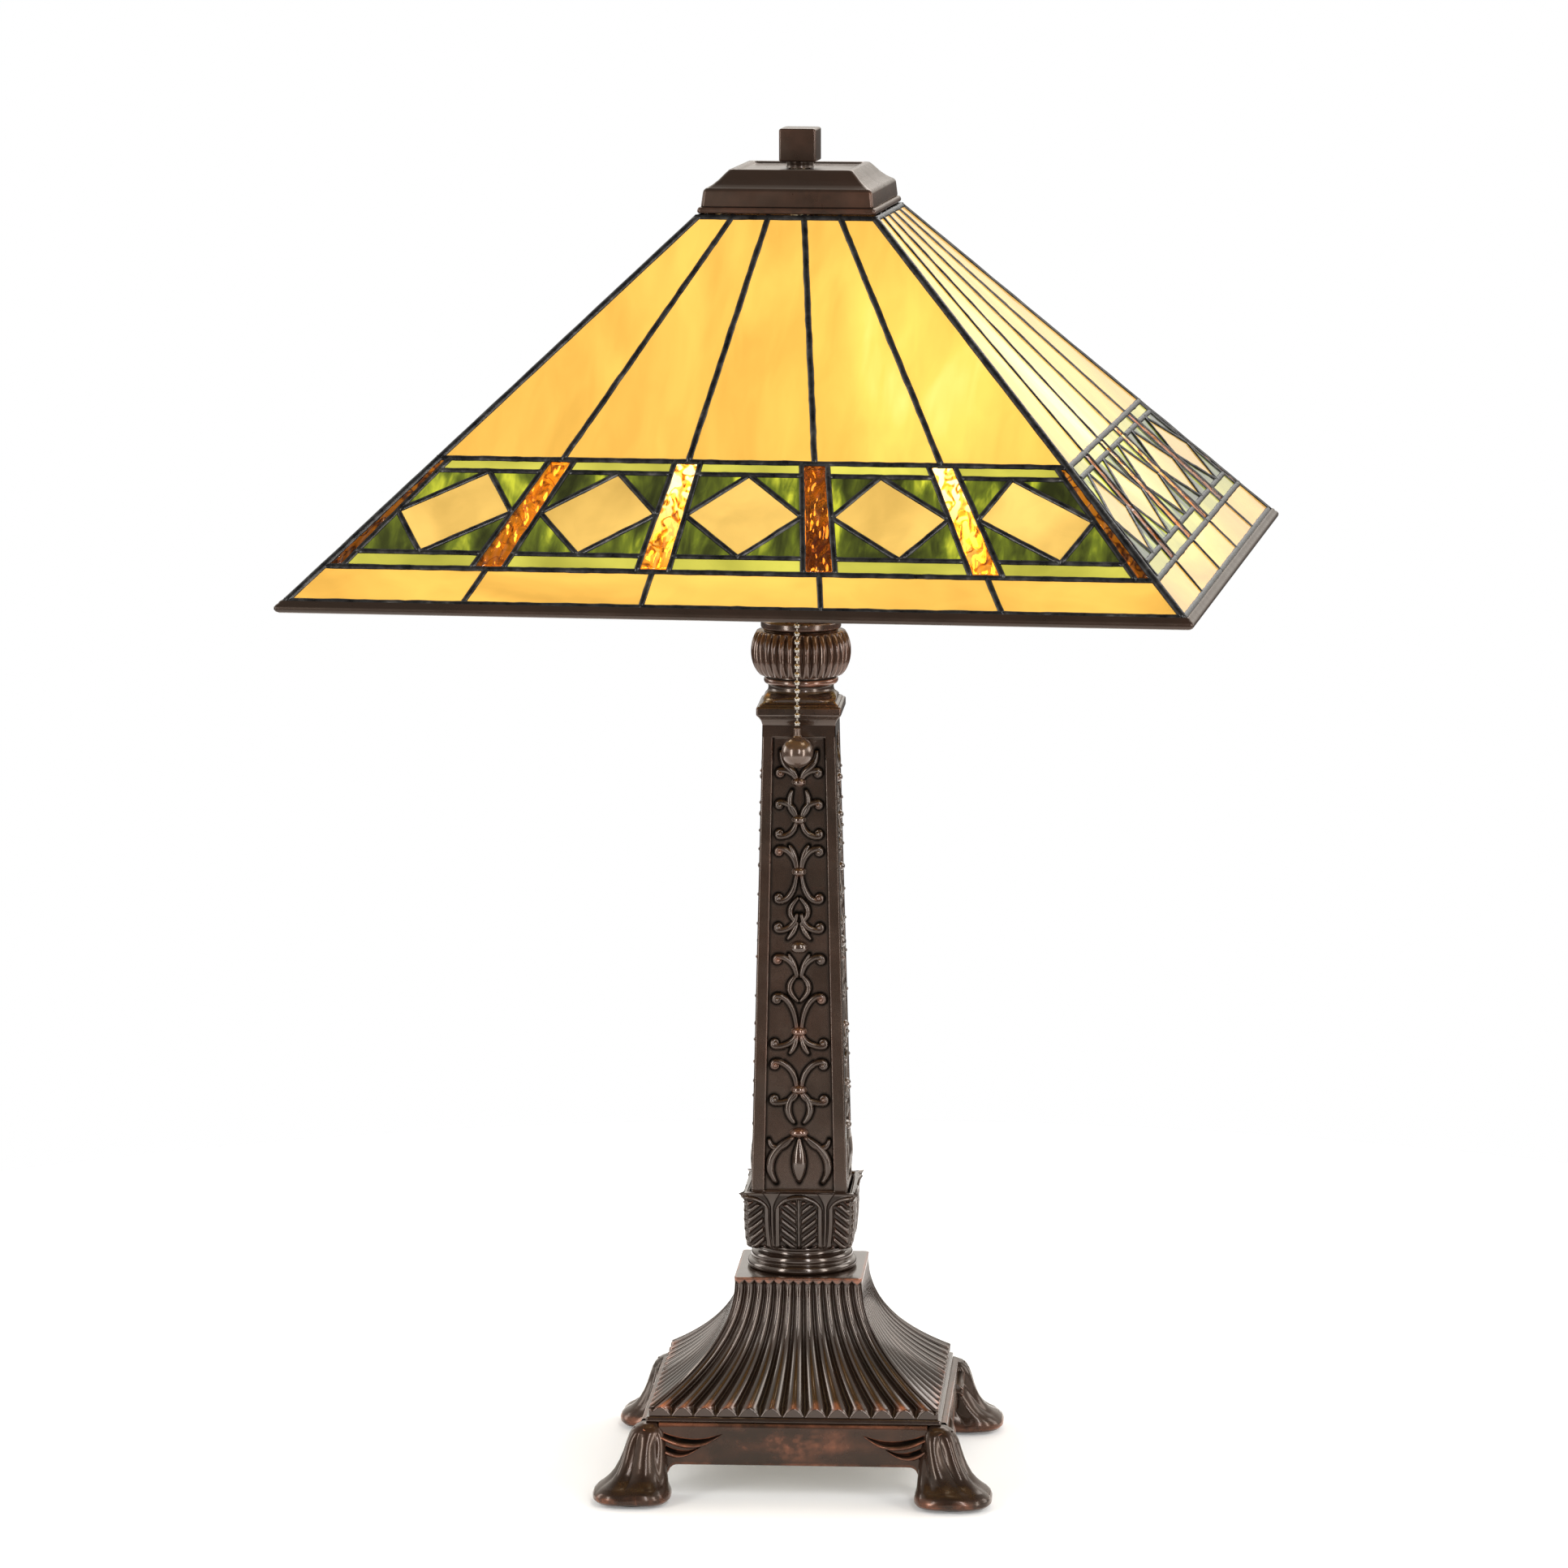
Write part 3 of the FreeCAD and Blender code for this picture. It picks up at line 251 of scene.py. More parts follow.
def glow(tree, floor_level):
    """Painted glow: light from the two bulbs that the glass gives off itself, falling off with
    distance.
    """
    drops = []
    for hub, axis in map(bulb_line, BULBS):
        apart = tree.add("VectorMath", {0: tree.place(), 1: (hub + axis * BULB_REACH) * MM},
                         operation="DISTANCE").outputs["Value"]
        square = tree.math("POWER", tree.math("DIVIDE", apart, GLOW_REACH), 2.0)
        drops.append(tree.math("EXPONENT", tree.math("MULTIPLY", square, -1.0)))
    return tree.math("MULTIPLY_ADD", tree.math("ADD", *drops), GLOW_GAIN, floor_level)


def glass(name, side, sheet, lit_low, lit_mid, lit_high, power, floor_level=0.60, streaks=1.0,
          streak_scale=(26, 7)):
    """Opalescent glass: sheet is its own colour by reflected light, and lit_low, lit_mid and
    lit_high run from the colour of its painted glow far from a bulb to the colour beside one.

    The streaks run up each side's slope, and every piece is cut from another place."""
    tree = material(name)
    across, along = streak_scale
    where = tree.place()
    turned = tree.add("VectorRotate", {"Vector": where, "Angle": -(QUARTER * side + SHADE_TURN)},
                      rotation_type="Z_AXIS").outputs["Vector"]
    # which of the five pieces across the side this is, from 0 to 4
    parts = tree.add("SeparateXYZ", {"Vector": turned}).outputs
    slope = (APERTURE_HALF - RIM_HALF) / (APERTURE_HEIGHT - RIM_HEIGHT)
    half = tree.math("MULTIPLY_ADD", parts["Z"], slope, (RIM_HALF - slope * RIM_HEIGHT) * MM)
    number = tree.math("MULTIPLY_ADD", tree.math("DIVIDE", parts["X"], half), 2.5, 2.5)
    number = tree.math("FLOOR", number)
    offset = tree.add("CombineXYZ", {"X": tree.math("MULTIPLY", number, 0.43),
                                     "Z": tree.math("MULTIPLY", number, 0.71)})
    moved = tree.add("VectorMath", {0: turned, 1: offset.outputs["Vector"]}, operation="ADD")
    laid = tree.stretched(moved.outputs["Vector"], (across, along, along))
    wisps = tree.noise(laid, 1.0, 3.0, 0.45, 0.7)
    veins = tree.noise(laid, 3.1, 3.0, 0.5, 1.0)
    haze = tree.math("MULTIPLY_ADD", wisps, 0.8, tree.math("MULTIPLY", veins, 0.2))
    varied = tree.math("MULTIPLY_ADD", tree.math("SUBTRACT", haze, 0.5), 0.85 * streaks, 1.0)
    light = tree.math("MULTIPLY", glow(tree, floor_level), varied)
    pale = tuple(min(1.0, c * 1.15 + 0.01) for c in sheet)
    deep = tuple(c * 0.82 for c in sheet)
    waves = tree.bump(tree.noise(where, 75.0, 2.0, 0.4, 0.4), 0.0008, 0.3)
    # painted glow: the inner faces are seen by the bulbs' own light, so they give less of it
    # themselves
    facing = tree.add("SeparateXYZ", {"Vector": tree.place("Normal")}).outputs["Z"]
    given = tree.math("MULTIPLY", tree.spread(light, 0.0, 1.3, 0.0, power),
                      tree.spread(facing, -0.2, 0.2, 0.3, 1.0))
    tree.surface(Base_Color=tree.mix(tree.spread(haze, 0.35, 0.65), deep, pale),
                 Emission_Color=tree.ramp(tree.spread(light, 0.35, 1.45), (0.0, lit_low),
                                          (0.5, lit_mid), (1.0, lit_high)),
                 Emission_Strength=given, Metallic=0.0, Roughness=0.14, IOR=1.5, Coat_Weight=0.4,
                 Coat_Roughness=0.04,
                 Normal=tree.bump(tree.noise(where, 620.0, 2.0), 0.00004, 0.25, waves))


def amber_glass():
    """Clear rippled cathedral glass; the ripples are in the mesh and finer ones in bump.
    The lit attribute sets each bar's painted glow, standing in for the bulbs' light it passes on."""
    tree = material("amber_ripple")
    where = tree.place()
    ripple = tree.noise(where, 150.0, 2.0, 0.4, 0.5)
    tint = tree.spread(tree.noise(where, 40.0), 0.35, 0.65)
    lit = tree.attribute("lit")
    # thin dark lines wander through the painted glow where the noise crosses its middle
    waves = tree.noise(tree.stretched(where, (1.0, 1.0, 0.42)), 150.0, 1.0, 0.4, 0.7)
    apart = tree.math("ABSOLUTE", tree.math("SUBTRACT", waves, 0.5))
    bright = tree.math("MULTIPLY", lit, tree.spread(apart, 0.006, 0.085, 0.05, 1.0))
    tree.surface(Base_Color=tree.mix(tint, (0.72, 0.28, 0.022), (0.46, 0.13, 0.008)),
                 Emission_Color=tree.ramp(bright, (0.0, (0.55, 0.12, 0.003)),
                                          (0.45, (1.0, 0.33, 0.010)), (0.80, (1.0, 0.72, 0.16)),
                                          (1.0, (1.0, 0.90, 0.50))),
                 Emission_Strength=tree.math("MULTIPLY_ADD", bright, 1.1,
                                             tree.math("MULTIPLY", lit, 0.20)),
                 Metallic=0.0, Roughness=0.03, IOR=1.5, Transmission_Weight=1.0,
                 Normal=tree.bump(ripple, 0.0008, 0.35))


def solder():
    """Lead-tin beads under a black patina, a little bright where they have been rubbed."""
    tree = material("black_patina_solder")
    mottle = tree.noise(tree.place(), 160.0, 4.0, 0.6)
    lumps = tree.noise(tree.place(), 420.0, 2.0)
    tree.surface(Base_Color=tree.ramp(mottle, (0.35, (0.012, 0.012, 0.013)),
                                      (0.6, (0.045, 0.043, 0.042)), (0.8, (0.12, 0.11, 0.10))),
                 Metallic=0.8, Coat_Weight=0.1, Coat_Roughness=0.2,
                 Roughness=tree.spread(mottle, 0.3, 0.7, 0.24, 0.42),
                 Normal=tree.bump(lumps, 0.00035, 0.6))


def lit_bulb():
    tree = material("lit_frosted_bulb")
    warm = tree.spread(tree.noise(tree.place(), 30.0, 2.0), 0.3, 0.7)
    tree.surface(Base_Color=(0.95, 0.93, 0.88), Roughness=0.35, Emission_Strength=3.6,
                 Emission_Color=tree.mix(warm, (1.0, 0.80, 0.50), (1.0, 0.86, 0.60)),
                 Normal=tree.bump(tree.noise(tree.place(), 900.0, 2.0), 0.00002, 0.4))


# painted glow that the glasses give by their colour, from far from a bulb to beside one
HONEY = dict(sheet=(0.37, 0.22, 0.050), lit_low=(0.92, 0.41, 0.030), lit_mid=(0.98, 0.58, 0.075),
             lit_high=(1.0, 0.94, 0.54))
CREAM = dict(sheet=(0.36, 0.23, 0.06), lit_low=(0.92, 0.52, 0.08), lit_mid=(0.97, 0.63, 0.13),
             lit_high=(1.0, 0.84, 0.36))
LIME = dict(sheet=(0.24, 0.24, 0.035), lit_low=(0.58, 0.49, 0.04), lit_mid=(0.74, 0.64, 0.08),
            lit_high=(0.98, 0.92, 0.28))
GREEN = dict(sheet=(0.020, 0.024, 0.002), lit_low=(0.055, 0.070, 0.001),
             lit_mid=(0.16, 0.20, 0.003), lit_high=(0.66, 0.66, 0.03))


def make_materials():
    bronze("antique_bronze")
    bronze("antique_bronze_relief", rub=0.8, roughness=0.19, gloss=0.8)
    bronze("antique_bronze_dome", roughness=0.18, warmth=0.35, dark=(0.018, 0.0105, 0.0070),
           shine=0.65, gloss=0.7)
    bronze("antique_bronze_plinth", shine=0.38, gloss=0.25, dark=(0.020, 0.0120, 0.0080))
    bronze("antique_bronze_warm", rub=0.8, roughness=0.20, warmth=0.9, dark=(0.050, 0.023, 0.013))
    bronze("bronze_sheet", rub=0.35, roughness=0.30, warmth=0.3, shine=0.5, gloss=0.3)
    bronze("rim_channel_metal", rub=0.15, roughness=0.3, warmth=0.3, shine=0.5, gloss=0.3)
    bronze("ball_bronze", rub=0.0, roughness=0.20, warmth=0.6, dark=(0.080, 0.050, 0.036))
    solder()
    amber_glass()
    lit_bulb()
    plain_metal("nickel_beads", (0.42, 0.38, 0.33), 0.13)
    plain_metal("bulb_aluminium", (0.80, 0.80, 0.78), 0.25)
    plain_metal("zinc_plated_steel", (0.55, 0.50, 0.38), 0.32)
    plain_metal("dark_plated_brass", (0.20, 0.13, 0.08), 0.30)
    matt("black_cast_iron", (0.03, 0.03, 0.032), 0.7, 340.0, 0.0003)
    matt("black_felt", (0.018, 0.018, 0.018), 0.92, 1500.0, 0.0003)
    matt("bushing_plastic", (0.03, 0.022, 0.018), 0.45, 700.0, 0.00005)
    matt("fibre_liner", (0.50, 0.42, 0.30), 0.8, 900.0, 0.0001)
    glass("cream_glass", 0, power=1.05, streaks=1.8, streak_scale=(16, 16), **CREAM)
    glass("lime_glass", 0, power=1.04, streaks=2.2, streak_scale=(14, 14), **LIME)
    for side, name in enumerate(SIDES):
        glass(f"honey_glass_{name}", side, power=1.34, streaks=0.95, **HONEY)
        glass(f"border_glass_{name}", side, power=1.33, streaks=1.8, streak_scale=(9, 20), **HONEY)
        glass(f"green_glass_{name}", side, power=1.2, streaks=7.0, floor_level=0.62,
              streak_scale=(70, 22), **GREEN)


# ================================================================ meshes

def values_of(items, key, width, kind):
    """A value of every one of a mesh's items, as an array with a row for each."""
    values = np.empty(len(items) * width, dtype=kind)
    items.foreach_get(key, values)
    return values.reshape(-1, width)


def add_wear(mesh, gain, rubbed, sunk):
    """Stores how convex the surface is at each point, where hands rub the patina off, and
    how hollow, where it is painted black as black patina and painted shade.

    rubbed(points) may return rubbed patches to add, one value for each point, and the last
    argument adds painted shade with black patina to as many of the first points as it has values."""
    points = values_of(mesh.vertices, "co", 3, float)
    normals = values_of(mesh.vertex_normals, "vector", 3, np.float32)
    first, second = values_of(mesh.edges, "vertices", 2, np.int32).T
    step = points[first] - points[second]
    length = np.maximum(np.linalg.norm(step, axis=1), 1e-6)
    near = 1 / length ** 2
    bend, weight = np.zeros(len(points)), np.zeros(len(points))
    for here, sign in ((first, 1), (second, -1)):
        np.add.at(bend, here, near * sign * np.einsum("ij,ij->i", step, normals[here]) / length)
        np.add.at(weight, here, near)
    bend /= np.maximum(weight, 1e-9)
    total, share = bend * weight, weight.copy()
    for here, there in ((first, second), (second, first)):
        np.add.at(total, here, near * bend[there])
        np.add.at(share, here, near)
    bend = total / np.maximum(share, 1e-9) * gain
    worn = np.clip((bend - 0.05) * 4.5, 0, 1)
    # concave places: painted shade with black patina
    hollow = np.clip((-bend - 0.03) * 5.0, 0, 1)
    if rubbed is not None:
        worn = np.clip(worn + rubbed(points / MM), 0, 1)
    hollow[:len(sunk)] = np.maximum(hollow[:len(sunk)], sunk)
    for name, values in (("wear", worn), ("hollow", hollow)):
        layer = mesh.attributes.new(name, "FLOAT", "POINT")
        layer.data.foreach_set("value", values.astype(np.float32))


def piece(name, shape, looks, body, node=None, wear=0.0, rubbed=None, sunk=()):
    """A finished object that rides on its body. shape is its points in millimetres and its
    faces, and node is the CAD node that it stands for."""
    points, faces = shape
    mesh = bpy.data.meshes.new(name)
    mesh.from_pydata([(x * MM, y * MM, z * MM) for x, y, z in points], [], faces)
    mesh.validate()
    mesh.shade_smooth()
    thing = bpy.data.objects.new(name, mesh)
    bpy.context.scene.collection.objects.link(thing)
    mesh.materials.append(MATERIALS[looks])
    if wear:
        add_wear(mesh, wear, rubbed, sunk)
    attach(thing, body)
    if node:
        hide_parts(node)
    return thing


def casting(name, shape, finish, node, wear, rubbed=None, sunk=()):
    """A bronze casting of the base; finish says which antique bronze it has."""
    piece(name, shape, "antique_bronze" + finish, "base", node, wear, rubbed,
          sunk)


def flipped(faces):
    return [tuple(reversed(face)) for face in faces]


def ring_faces(rings, around, start=0, closed=True):
    """Quads between rings of points laid one after another."""
    faces = []
    steps = around if closed else around - 1
    for ring in range(rings - 1):
        for index in range(steps):
            a = start + ring * around + index
            b = start + ring * around + (index + 1) % around
            faces.append((a, b, b + around, a + around))
    return faces


def eased(outline, radius, steps=4):
    """The same open outline with its corners rounded off to about a radius."""
    smoothed = [outline[0]]
    for before, corner, after in zip(outline, outline[1:], outline[2:]):
        here = Vector(corner)
        back, ahead = Vector(before) - here, Vector(after) - here
        cut = min(radius, back.length * 0.45, ahead.length * 0.45)
        if back.length < 1e-6 or ahead.length < 1e-6:
            continue
        start, end = here + back.normalized() * cut, here + ahead.normalized() * cut
        for step in range(steps + 1):
            t = step / steps
            point = start * (1 - t) ** 2 + here * 2 * t * (1 - t) + end * t ** 2
            smoothed.append(tuple(point))
    smoothed.append(outline[-1])
    return smoothed


def lathe(outline, around=96, shape=None):
    """Points and faces of an outline (radius, height) turned about Z.

    shape(angle, radius, height) may return a changed radius."""
    points = []
    for radius, height in outline:
        for angle in circle(around):
            reach = shape(angle, radius, height) if shape else radius
            points.append((reach * math.cos(angle), reach * math.sin(angle), height))
    return points, ring_faces(len(outline), around)


def square_ring(half, corner, per_corner=6):
    """Points of a centred rounded square, anticlockwise."""
    corner = min(corner, half * 0.98)
    centre = (half - corner) * math.sqrt(2)
    ring = []
    for quarter in range(4):
        base = QUARTER * (quarter + 0.5)
        for index in range(per_corner + 1):
            angle = QUARTER * (quarter + index / per_corner)
            ring.append((centre * math.cos(base) + corner * math.cos(angle),
                         centre * math.sin(base) + corner * math.sin(angle)))
    return ring


def square_turned(outline, corner, per_corner=6):
    """Points and faces of an outline (half width, height) swept round a rounded square."""
    points = [(x, y, height) for half, height in outline
              for x, y in square_ring(half, corner, per_corner)]
    return points, ring_faces(len(outline), 4 * (per_corner + 1))


def profile(node, lower, upper, radius, steps=4):
    """An eased outline: widths and heights above the node's bottom, then from its top."""
    bottom, top = heights(node)
    return eased([(wide, bottom + z) for wide, z in lower]
                 + [(wide, top + z) for wide, z in upper], radius, steps)


def capped(points, faces, around):
    """Closes the first and the last ring with one face each."""
    last = len(points) - around
    return points, faces + [tuple(reversed(range(around))), tuple(range(last, last + around))]


def turned_points(points, angle):
    cos, sin = math.cos(angle), math.sin(angle)
    return [(x * cos - y * sin, x * sin + y * cos, z) for x, y, z in points]


def placed(shape, matrix):
    """The shape with every point moved by the matrix."""
    return [tuple(matrix @ Vector(point)) for point in shape[0]], shape[1]


def joined(shapes):
    """One shape from several."""
    points, faces = [], []
    for some_points, some_faces in shapes:
        start = len(points)
        points += some_points
        faces += [tuple(index + start for index in face) for face in some_faces]
    return points, faces


def four_times(points, faces):
    """A front-side shape repeated on all four sides of the square."""
    return joined([(turned_points(points, QUARTER * side), faces) for side in range(4)])


def sweep(path, radii, flat, normal=Vector((0, -1, 0)), around=14):
    """A closed tube along 3-D points with a radius at each; flat squashes it along normal."""
    points = []
    for index, (here, radius) in enumerate(zip(path, radii)):
        along = path[min(index + 1, len(path) - 1)] - path[max(index - 1, 0)]
        across = along.normalized().cross(normal).normalized()
        points += [tuple(here + across * radius * math.cos(angle)
                         + normal * radius * flat * math.sin(angle)) for angle in circle(around)]
    return capped(points, ring_faces(len(path), around), around)


# ================================================================ base

RIBS = 13
FLAT_HALF = 30.6         # half width of the flat top within its edge
RIB_PLANE = 71.2         # half width of the upright plane that cuts the ribs off
FLARE_TOP = 102.0        # the dome's flank, measured from the photo: where it is narrowest,
FLARE_HALF = 31.6        # its half width there, and how that grows on the way down
FLARE_GROWTH, FLARE_POWER = 0.00403, 2.28


def on_crest(share):
    """How near a place across a side is to a crest: 0 in a groove and 1 on a crest."""
    return 1 - abs((RIBS * (share + 1) / 2) % 1.0 * 2 - 1)


def rubbed_dome(points):
    """Copper teeth round the edge of the flat top and copper on the ends of the ribs."""
    ledge, top = heights("fluted_dome")
    rib_ends = 13.0
    worn = np.zeros(len(points))
    for index, (a, b, c) in enumerate(points):
        out = max(abs(a), abs(b))
        if out < FLAT_HALF:
            continue
        crest = on_crest((a if abs(b) > abs(a) else b) / out)
        broad = wander(a * 0.07, b * 0.07, c * 0.07)
        speck = wander(a * 0.45, b * 0.45, c * 0.45)
        if top - 1.3 - 1.9 * crest < c < top - 0.02:
            worn[index] = 0.62 + 0.6 * broad + 0.4 * speck
        elif c < ledge + rib_ends and out < RIB_PLANE - 0.05:
            ending = max(0.0, 1 - (RIB_PLANE - out) / 5.5)
            worn[index] = ending * max(0.0, crest - 0.45) * (1.5 + 1.6 * broad + speck)
    return np.clip(worn, 0, 1)


def fluted_dome():
    """Round ribs fan out down the flare. One upright plane cuts them off at the foot, so
    that they end in scallops, and their grooves end in points under the flat top's edge."""
    ledge, top = heights("fluted_dome")
    lowest, highest = ledge + 2.9, top - 0.8
    across, up = RIBS * 18, 110
    points, sunk = [], []
    for row in range(up + 1):
        # rows are closest together at the foot and under the edge
        climb = row / up - 0.6 * math.sin(2 * math.pi * row / up) / (2 * math.pi)
        height = lowest + (highest - lowest) * climb
        below = max(FLARE_TOP - height, 0.0)
        crest = FLARE_HALF + FLARE_GROWTH * below ** FLARE_POWER
        steep = FLARE_GROWTH * FLARE_POWER * below ** (FLARE_POWER - 1)
        deep = (1.9 + 1.6 * (crest - FLARE_HALF) / (RIB_PLANE - FLARE_HALF)) * math.hypot(1, steep)
        fade = unit((top - height - 1.3) / 2.2)
        edge = min(crest - 0.25, RIB_PLANE)
        for column in range(across + 1):
            share = column / across * 2 - 1
            # the grooves narrow to points
            aside = min(1.0, on_crest(share) / max(fade, 0.01))
            corner = max(0.0, 1 - (1 - abs(share)) * 40)
            groove = deep * fade * (1 - aside) ** 1.8 * (1 - corner)
            half = min(crest - groove, RIB_PLANE)
            points.append((share * edge, -half if corner < 1 else -edge, height))
            # black patina and painted shade down the middle of each groove
            sunk.append(0.42 * max(0.0, 1 - aside / 0.5) * (1 - corner) * (half < RIB_PLANE))
    sides = four_times(points, ring_faces(up + 1, across + 1, closed=False))
    plateau = profile("fluted_dome", [], [(30.5, -2.2), (31.8, -1.1), (31.9, -0.5), (31.5, -0.1),
                                          (30.0, 0.0), (6.0, 0.0)], 0.5)
    ledges = profile("fluted_dome", [(64.0, 0.0), (72.6, 0.0), (72.7, 0.5), (72.5, 2.1),
                                     (71.9, 2.5), (71.0, 2.55), (70.9, 2.8), (71.2, 3.0),
                                     (71.1, 3.6), (64.0, 3.7)], [], 0.3)
    shape = joined([sides, square_turned(plateau, 2.0), square_turned(ledges, 0.8)])
    casting("fluted_dome_casting", shape, "_dome", "fluted_dome", 0.35, rubbed_dome, sunk * 4)

# outline of a foot: height, inner edge and outer edge, in millimetres from the lamp's axis
FOOT = [(1.2, 63.5, 94.0), (1.8, 60.8, 96.6), (3.2, 59.8, 98.0), (5.0, 59.7, 98.1),
        (6.8, 60.1, 97.4), (8.6, 60.7, 95.6), (10.2, 61.1, 93.0), (12.2, 61.4, 90.4),
        (15.0, 61.8, 87.9), (19.0, 62.0, 85.6), (23.0, 62.3, 83.9), (28.0, 62.6, 82.3),
        (32.0, 63.0, 81.0), (34.6, 63.8, 79.6), (36.6, 65.2, 77.6), (38.2, 67.4, 74.4)]


def foot():
    """A draped foot: a rolled toe at the floor and folds gathered towards the top."""
    around = 120
    rows = [[a + (b - a) * step / 3 for a, b in zip(start, end)]
            for start, end in zip(FOOT, FOOT[1:]) for step in range(3)] + [FOOT[-1]]
    points = []
    for height, inner, outer in rows:
        middle, half = (inner + outer) / 2, (outer - inner) / 2
        drape = unit((height - 3.5) / 9) * unit((37.5 - height) / 9)
        for angle in circle(around):
            cos, sin = math.cos(angle), math.sin(angle)
            square = (abs(cos) ** 3.0 + abs(sin) ** 3.0) ** (-1 / 3.0)
            twist = 0.45 * math.sin(height * 0.11 + 1.3)
            twist += 0.5 * wander(cos * 1.3, sin * 1.3, height * 0.03)
            fold = (1 + math.cos(6 * (angle - QUARTER / 2) + twist * 2.4)) / 2
            reach = half * square + drape * (2.1 * fold ** 0.55 - 1.8)
            points.append((middle + reach * cos, -(middle + reach * sin), height))
    # y is mirrored, so the faces turn the other way
    points, faces = capped(points, ring_faces(len(rows), around), around)
    return points, flipped(faces)


APRON_HALF = 75.4


def apron():
    """Front side of the apron, whose lower edge turns down in a small curve at each foot."""
    top, bottom = heights("plinth_frame")[1], 17.6
    bend, thickness = 4.5, 6.2
    half_length, foot_edge = 66.0, 61.5
    inset = [1.3, 0.5, 0.12] + [0.0] * 14 + [0.15, 0.5, 1.3]
    levels = [0.0, 0.015, 0.04] + [0.09 + 0.83 * k / 13 for k in range(14)] + [0.965, 0.988, 1.0]
    points = []
    columns = 96
    for share, pull in list(zip(levels, inset)) + [(1.0, thickness), (0.0, thickness)]:
        for column in range(columns + 1):
            x = half_length * (2 * column / columns - 1)
            past = max(0.0, abs(x) - (foot_edge - bend))
            drop = bend - math.sqrt(max(bend * bend - min(past, bend) ** 2, 0.0))
            points.append((x, pull - APRON_HALF, bottom - drop + (top - bottom + drop) * share))
    around = columns + 1
    faces = ring_faces(len(levels) + 2, around, closed=False)
    last = len(points) - around
    faces += [(last + k, last + k + 1, k + 1, k) for k in range(columns)]
    return points, faces


def swag(lower, upper, lift):
    """A crescent of gathered cloth on the front of the apron.

    lower and upper are its two edges as (x, z) points from the foot to the tip; the ridge
    runs along the lower edge, below a painted shadow, black, on the flat part under the upper one."""
    steps, across = 30, 14

    def along(path, t):
        place = t * (len(path) - 1)
        k = min(int(place), len(path) - 2)
        f = place - k
        before, start = Vector(path[max(k - 1, 0)]), Vector(path[k])
        end, after = Vector(path[k + 1]), Vector(path[min(k + 2, len(path) - 1)])
        return 0.5 * (2 * start + (end - before) * f + (2 * before - 5 * start + 4 * end - after)
                      * f * f + (3 * start - before - 3 * end + after) * f ** 3)

    points, sunk = [], []
    for step in range(steps + 1):
        t = step / steps
        bottom, top = along(lower, t), along(upper, t)
        swell = lift * min(1.0, (1 - t) * 5) ** 0.7
        for k in range(across + 1):
            u = k / across
            spot = bottom.lerp(top, u)
            ridge = max(0.0, math.sin(math.pi * min(1.0, u / 0.62))) ** 0.6
            level = 0.3 if k in (0, across) else -0.12 - swell * ridge
            points.append((spot.x, level - APRON_HALF, spot.y))
            # painted shadow: the flat part above the ridge is black
            sunk.append(unit((u - 0.50) / 0.12))
    return points, ring_faces(steps + 1, across + 1, closed=False), sunk


def rubbed_apron(points):
    """The toes' rims and patches in the middle of each apron, rubbed to reddish brown."""
    x, y, z = points.T
    worn = np.zeros(len(points))
    for index in np.nonzero(z < 8)[0]:
        a, b, c = points[index]
        broad = wander(a * 0.09, b * 0.09, c * 0.2)
        worn[index] = max(0.0, 1 - abs(c - 4.2) / 3.4) * (0.30 + 0.9 * broad)
    for index in np.nonzero((z > 16) & (z < 38.2) & (np.maximum(abs(x), abs(y)) < 75.8))[0]:
        a, b, c = points[index]
        across = a if abs(b) > abs(a) else b
        if abs(across) > 58:
            continue
        broad = wander(a * 0.055, b * 0.055, c * 0.16 + 3.0)
        scratch = wander(a * 0.30, b * 0.30, c * 1.4)
        centre = max(0.0, 1 - (abs(across + 4) / 34) ** 2) * max(0.0, 1 - ((c - 29) / 9) ** 2)
        worn[index] = max(0.0, 0.02 + 0.10 * broad + centre * (0.27 + 0.7 * broad + 0.4 * scratch))
    return worn


# swags beside each foot: lower edge, upper edge, both from the foot to the tip, and lift
SWAGS = [
    ([(73.5, 35.2), (66.5, 31.6), (58.0, 27.4), (50.0, 26.2), (42.5, 28.0), (34.6, 33.4)],
     [(73.5, 37.6), (67.0, 35.4), (58.5, 32.6), (50.5, 31.3), (43.0, 31.6), (34.6, 33.6)], 3.2),
    ([(72.0, 30.5), (67.5, 26.6), (62.5, 22.6), (57.0, 21.2), (51.5, 22.8), (45.5, 26.6)],
     [(72.0, 33.6), (67.2, 30.6), (61.5, 27.4), (56.0, 25.6), (51.0, 25.4), (45.5, 27.0)], 2.8),
]


def plinth():
    """Apron, four draped feet and the swags of cloth that hang between them."""
    front = [foot(), apron()]
    sunk = [0.0] * sum(len(points) for points, _ in front)
    for sign in (-1, 1):
        for lower, upper, lift in SWAGS:
            points, faces, dark = swag([(sign * x, z) for x, z in lower],
                                       [(sign * x, z) for x, z in upper], lift)
            front.append((points, faces if sign > 0 else flipped(faces)))
            # the swags' painted shadows
            sunk += dark
    casting("footed_plinth", four_times(*joined(front)), "_plinth", "plinth_frame", 0.6,
            rubbed_apron, sunk * 4)


def stepped_ring():
    outline = profile("stepped_ring", [(5.2, 0.0), (26.6, 0.0), (27.5, 1.6), (26.9, 3.6),
                                       (24.6, 4.4), (25.6, 6.2), (25.0, 8.2), (22.6, 9.2),
                                       (22.4, 11.0)], [(23.6, -1.0), (23.4, 0.0), (5.2, 0.0)], 0.9)
    casting("stepped_ring_turning", lathe(outline, 120), "_dome", "stepped_ring", 0.3)


